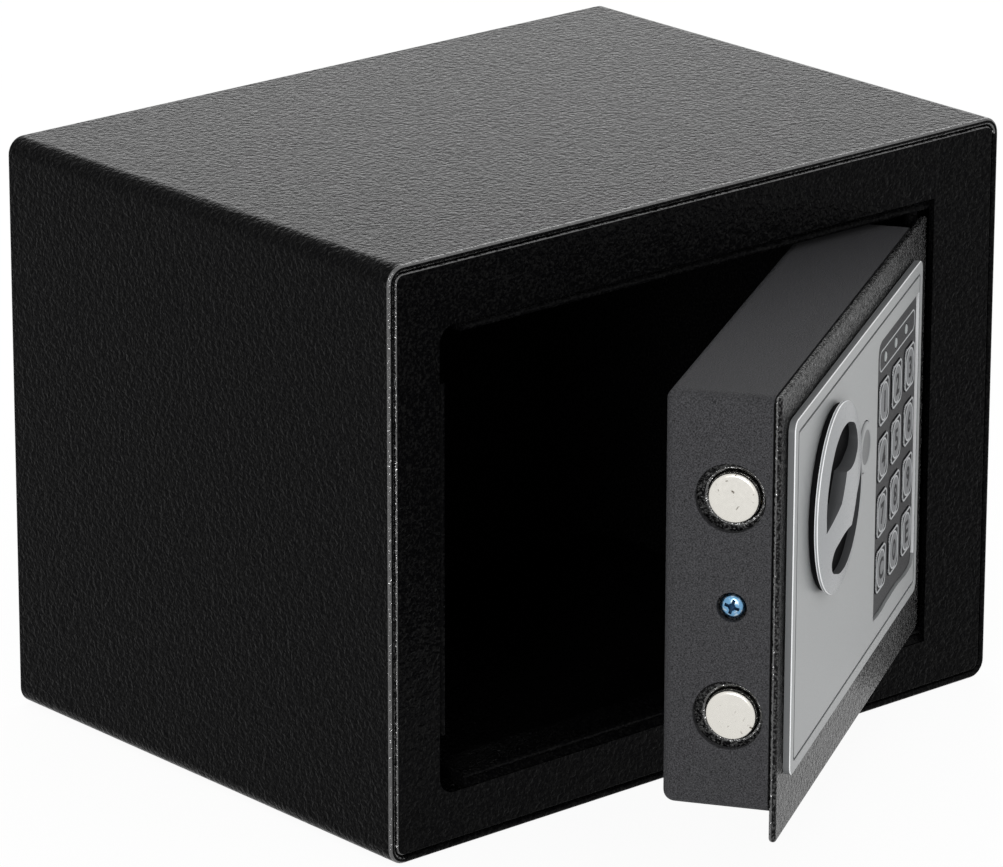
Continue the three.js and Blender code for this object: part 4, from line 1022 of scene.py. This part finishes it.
field = field_outline(FILM_GAP, FIELD_FRONT, PANEL_BACK)
windows = [slab(x - WINDOW_HALF_WIDE, z - WINDOW_HALF_HIGH, x + WINDOW_HALF_WIDE,
                z + WINDOW_HALF_HIGH, *THROUGH_FILM, KEY_WINDOW_CORNER, 5)
           for x, z in KEYS.values()]
windows += [rod(LIGHT_WINDOW, Y, *THROUGH_FILM, (x, 0, LIGHT_Z), 24) for x in LIGHTS.values()]
field = cut(field, *windows)
frame_line = ring(-63.6, 118.0, -19.4, 124.2, FIELD_FRONT - FRAME_RISE, FIELD_FRONT + 0.2,
                  FRAME_CORNER, FRAME_WIDTH)
field = put_together((field, 0), (frame_line, 1))
finished("key_window_film", field, DOOR_OPEN, "door", "field_plastic", ["keypad_field"],
         film_grey, key_line)

# %% [markdown]
# Every key is a small rounded slab with a light outline, dark corners, an oval face with a light
# line round it, and a printed figure. The layers are thin solids on top of each other, which is how
# the real key is built up from moulding and print. Clear and enter carry a plain C and E.

# %% Key layers
KEY_FRONT, KEY_HALF_WIDE, KEY_HALF_HIGH, KEY_CORNER = -6.2, 5.75, 6.2, 2.2
LINE_RISE, OVAL_RISE, PRINT_RISE = 0.03, 0.1, 0.13
LINE_HALVES, OVAL_HALVES, OVAL_RIM, BORDER = (5.1, 5.55), (4.6, 5.1), 0.15, 0.5
FIGURE_HEIGHT, STEM_RADIUS, STEM_END = 6.2, 2, -1.8
SYMBOLS = {"clear": "C", "enter": "E"}


def oval_disc(x, z, rise, half_wide, half_high):
    """An oval that stands that far above the key's border."""
    shape = rod(1, Y, KEY_FRONT - rise, KEY_FRONT + 0.3, (0, 0, 0), 48)
    place = Matrix.Translation((x, 0, z)) @ Matrix.Diagonal((half_wide, 1, half_high, 1))
    bmesh.ops.transform(shape, matrix=place, verts=shape.verts)
    return shape


print("a key is", 2 * KEY_HALF_WIDE, "by", 2 * KEY_HALF_HIGH, "mm")

# %% [markdown]
# All twelve keys are the same but for the figure, so one loop makes them. The layers stay separate
# solids in one mesh, each with its own grey. A stem behind the key reaches to its switch.

# %% Keys
for name, (x, z) in KEYS.items():
    sides = (x - KEY_HALF_WIDE, z - KEY_HALF_HIGH, x + KEY_HALF_WIDE, z + KEY_HALF_HIGH)
    base = slab(*sides, KEY_FRONT + 0.12, KEY_FRONT + 0.9, KEY_CORNER, 5)
    border = ring(*sides, KEY_FRONT, KEY_FRONT + 0.3, KEY_CORNER, BORDER)
    line = oval_disc(x, z, LINE_RISE, *LINE_HALVES)
    oval = oval_disc(x, z, OVAL_RISE, *OVAL_HALVES)
    round_edges(oval, rim(oval, Y, KEY_FRONT - OVAL_RISE), OVAL_RIM, 3)
    mark = figure(SYMBOLS.get(name, name), x, z, FIGURE_HEIGHT, KEY_FRONT - PRINT_RISE, KEY_FRONT)
    stem = rod(STEM_RADIUS, Y, KEY_FRONT + 0.8, STEM_END, (x, 0, z), 20)
    key = put_together((base, 2), (border, 1), (line, 1), (oval, 0), (mark, 2), (stem, 2))
    finished(f"button_{name}", key, DOOR_OPEN, f"button_{name}", "key_rubber", [f"key_{name}"],
             key_grey, key_line, key_dark)

# %% [markdown]
# The three status lights are small clear domes. A dome could be half a sphere, but these are low
# and have a straight stem behind them, so each is one turned profile. They are off, so the lens is
# a plain pale plastic without any glow.

# %% Status lights
DOME = [(0, -6.0), (0.7, -5.97), (1.2, -5.88), (1.45, -5.72), (1.55, -5.4), (1.55, -1), (0, -1)]

for name, x in LIGHTS.items():
    light = turned(DOME, Y, (x, 0, LIGHT_Z), 32)
    finished(f"status_light_{name}", light, DOOR_OPEN, "door", "led_lens", [f"led_{name}"], lens)

# %% [markdown]
# ## Inner pieces
# The pieces inside the door have the right shape already, so they keep their solids, and the mesh
# itself is left alone. Modifiers do the rest: Weld joins the loose triangles, a small node group
# shades them smooth and Edge Split keeps the corners sharp. Each gets the finish of the real piece.

# %% Smooth shading as a modifier
rounding = bpy.data.node_groups.new("smooth shading", "GeometryNodeTree")
for way in ("INPUT", "OUTPUT"):
    rounding.interface.new_socket("Geometry", in_out=way, socket_type="NodeSocketGeometry")
entry = rounding.nodes.new("NodeGroupInput")
shade = rounding.nodes.new("GeometryNodeSetShadeSmooth")
leave = rounding.nodes.new("NodeGroupOutput")
rounding.links.new(entry.outputs["Geometry"], shade.inputs["Geometry"])
rounding.links.new(shade.outputs["Geometry"], leave.inputs["Geometry"])
print("node group:", rounding.name)

# %% [markdown]
# The inner pieces are steel, brass and plastic. A finish goes into the material slot that the
# object already has. A table with the finish first and its pieces after it is shorter than a line
# for each piece.

# %% Finishes of the inner pieces
WELD_GAP, SPLIT_ANGLE = 0.00001, 32
board_green = moulded("board lacquer", (0.02, 0.12, 0.045), 0.3, 0.8, 0.01, 0.2)
sleeve = moulded("battery sleeve", (0.035, 0.035, 0.04), 0.3, 2, 0.005, 0.2)
INNER = {
    zinc: ["guide_screw", "bolt_carriage", "knob_shaft", "knob_crank", "solenoid_body",
           "contact_strip_lower", "contact_strip_upper"],
    nickel: ["lock_plug", "solenoid_plunger"],
    brass: ["knob_bush", "lock_barrel"],
    black_moulding: ["battery_tray"],
    cover_grain: ["battery_door"],
    board_green: ["circuit_board"],
    red_moulding: ["reset_button"],
    sleeve: [f"battery_{number}" for number in (1, 2, 3, 4)],
}
for finish, names in INNER.items():
    for name in names:
        node = nodes[name]
        for holder in node.material_slots:
            holder.material = finish
        node.modifiers.new("Weld", "WELD").merge_threshold = WELD_GAP
        node.modifiers.new("Smooth shading", "NODES").node_group = rounding
        split = node.modifiers.new("Edge Split", "EDGE_SPLIT")
        split.split_angle = math.radians(SPLIT_ANGLE)
print("inner pieces:", sum(len(names) for names in INNER.values()))

# %% [markdown]
# ## Camera, floor and light
# The camera stands well back and looks through a long lens, so the edges of the box hardly
# converge. Its place and angles come from a fit to the corners of the body. It could be aimed with
# a Track To constraint, but three angles hold it exactly and keep the slight roll.

# %% Camera
YAW, PITCH, ROLL = math.radians(41.2844), math.radians(18.5225), math.radians(0.1264)
LENS, SENSOR = 233.68, 36
CAMERA_PLACE = (-1.172175, -1.333263, 0.673125)

ahead = Vector((math.sin(YAW) * math.cos(PITCH), math.cos(YAW) * math.cos(PITCH),
                -math.sin(PITCH)))
level = Vector((math.cos(YAW), -math.sin(YAW), 0))
upright = level.cross(ahead)
right = math.cos(ROLL) * level + math.sin(ROLL) * upright
up = math.cos(ROLL) * upright - math.sin(ROLL) * level
lens_data = bpy.data.cameras.new("photo camera")
lens_data.sensor_width = SENSOR
lens_data.lens = LENS
lens_data.clip_start, lens_data.clip_end = 0.1, 50
camera = bpy.data.objects.new("photo camera", lens_data)
bpy.context.scene.collection.objects.link(camera)
camera.matrix_world = Matrix.Translation(CAMERA_PLACE) @ Matrix((
    (right.x, up.x, -ahead.x, 0), (right.y, up.y, -ahead.y, 0),
    (right.z, up.z, -ahead.z, 0), (0, 0, 0, 1)))
bpy.context.scene.camera = camera
bpy.context.scene.view_settings.view_transform = "Standard"
print("lens:", lens_data.lens, "mm")

# %% [markdown]
# The floor is a plain pale sheet that runs into the background. A lit floor alone would show its
# far edge, so for the camera and for mirroring pieces most of it is plain white, and a small share
# stays real paper, which keeps a faint shadow under the safe.

# %% Floor
FLOOR_HALF, FLOOR_DROP, WHITE_SHARE = 8, -0.0002, 0.94

floor_shape = bmesh.new()
bmesh.ops.create_grid(floor_shape, x_segments=1, y_segments=1, size=FLOOR_HALF)
bmesh.ops.translate(floor_shape, vec=(0, 0, FLOOR_DROP), verts=floor_shape.verts)
floor = object_of("floor", floor_shape)
paper = bpy.data.materials.new("pale paper")
paper.use_nodes = True
tree = paper.node_tree
tree.nodes.clear()
floor.data.materials.append(paper)
print("floor:", floor.name)

# %% [markdown]
# The Light Path node tells the camera's rays from the rays that light the paper. The white share
# also counts for glossy and transmission rays, so that metal and clear pieces mirror the same
# background that the camera sees.

# %% Floor paper
def add(kind, **inputs):
    """A node in the paper's tree with some inputs set."""
    node = tree.nodes.new(kind)
    for name, value in inputs.items():
        node.inputs[name].default_value = value
    return node


def larger(first, second):
    """The larger of two outputs."""
    node = add("ShaderNodeMath")
    node.operation = "MAXIMUM"
    tree.links.new(first, node.inputs[0])
    tree.links.new(second, node.inputs[1])
    return node.outputs[0]


diffuse = add("ShaderNodeBsdfDiffuse", Color=(0.9, 0.9, 0.9, 1))
white = add("ShaderNodeEmission", Color=(1, 1, 1, 1), Strength=1.0)
rays = add("ShaderNodeLightPath")
mirrored = larger(rays.outputs["Is Glossy Ray"], rays.outputs["Is Transmission Ray"])
seen = larger(rays.outputs["Is Camera Ray"], mirrored)
share = add("ShaderNodeMath")
share.operation = "MULTIPLY"
share.inputs[1].default_value = WHITE_SHARE
tree.links.new(seen, share.inputs[0])
both = add("ShaderNodeMixShader")
tree.links.new(share.outputs[0], both.inputs[0])
tree.links.new(diffuse.outputs[0], both.inputs[1])
tree.links.new(white.outputs[0], both.inputs[2])
output = add("ShaderNodeOutputMaterial")
tree.links.new(both.outputs[0], output.inputs["Surface"])
print("nodes in the paper:", len(tree.nodes))

# %% [markdown]
# The background is a plain white sky. An image of a studio could light the safe too, but plain
# white at strength 1 renders as white and gives an even soft light from all sides.

# %% Sky
world = bpy.data.worlds.new("white studio")
bpy.context.scene.world = world
world.use_nodes = True
sky = world.node_tree.nodes["Background"]
sky.inputs["Color"].default_value = (1, 1, 1, 1)
sky.inputs["Strength"].default_value = 1.0
print("sky:", world.name)

# %% [markdown]
# Two soft boxes do the rest. A small one near the camera, at the left, lights the bolt ends and the
# end face of the cover. A large one behind the safe is mirrored by the roof, which turns it greyer
# than the sides. Area lamps are used, because their size sets how soft the edges of the light are.

# %% Soft boxes
AIM = Vector((0, 0, 0.08))


def soft_box(name, side, power, place):
    """A square lamp of that side, turned to the safe."""
    data = bpy.data.lights.new(name, "AREA")
    data.shape = "SQUARE"
    data.size = side
    data.energy = power
    lamp = bpy.data.objects.new(name, data)
    bpy.context.scene.collection.objects.link(lamp)
    lamp.location = place
    lamp.rotation_euler = (AIM - lamp.location).to_track_quat("-Z", "Y").to_euler()
    return lamp


soft_box("small soft box", 0.3, 10, (-1.35, -1.0, 0.45))
soft_box("back soft box", 1.2, 5.8, (1.0, 1.14, 0.68))
print("lights:", len(bpy.data.lights))
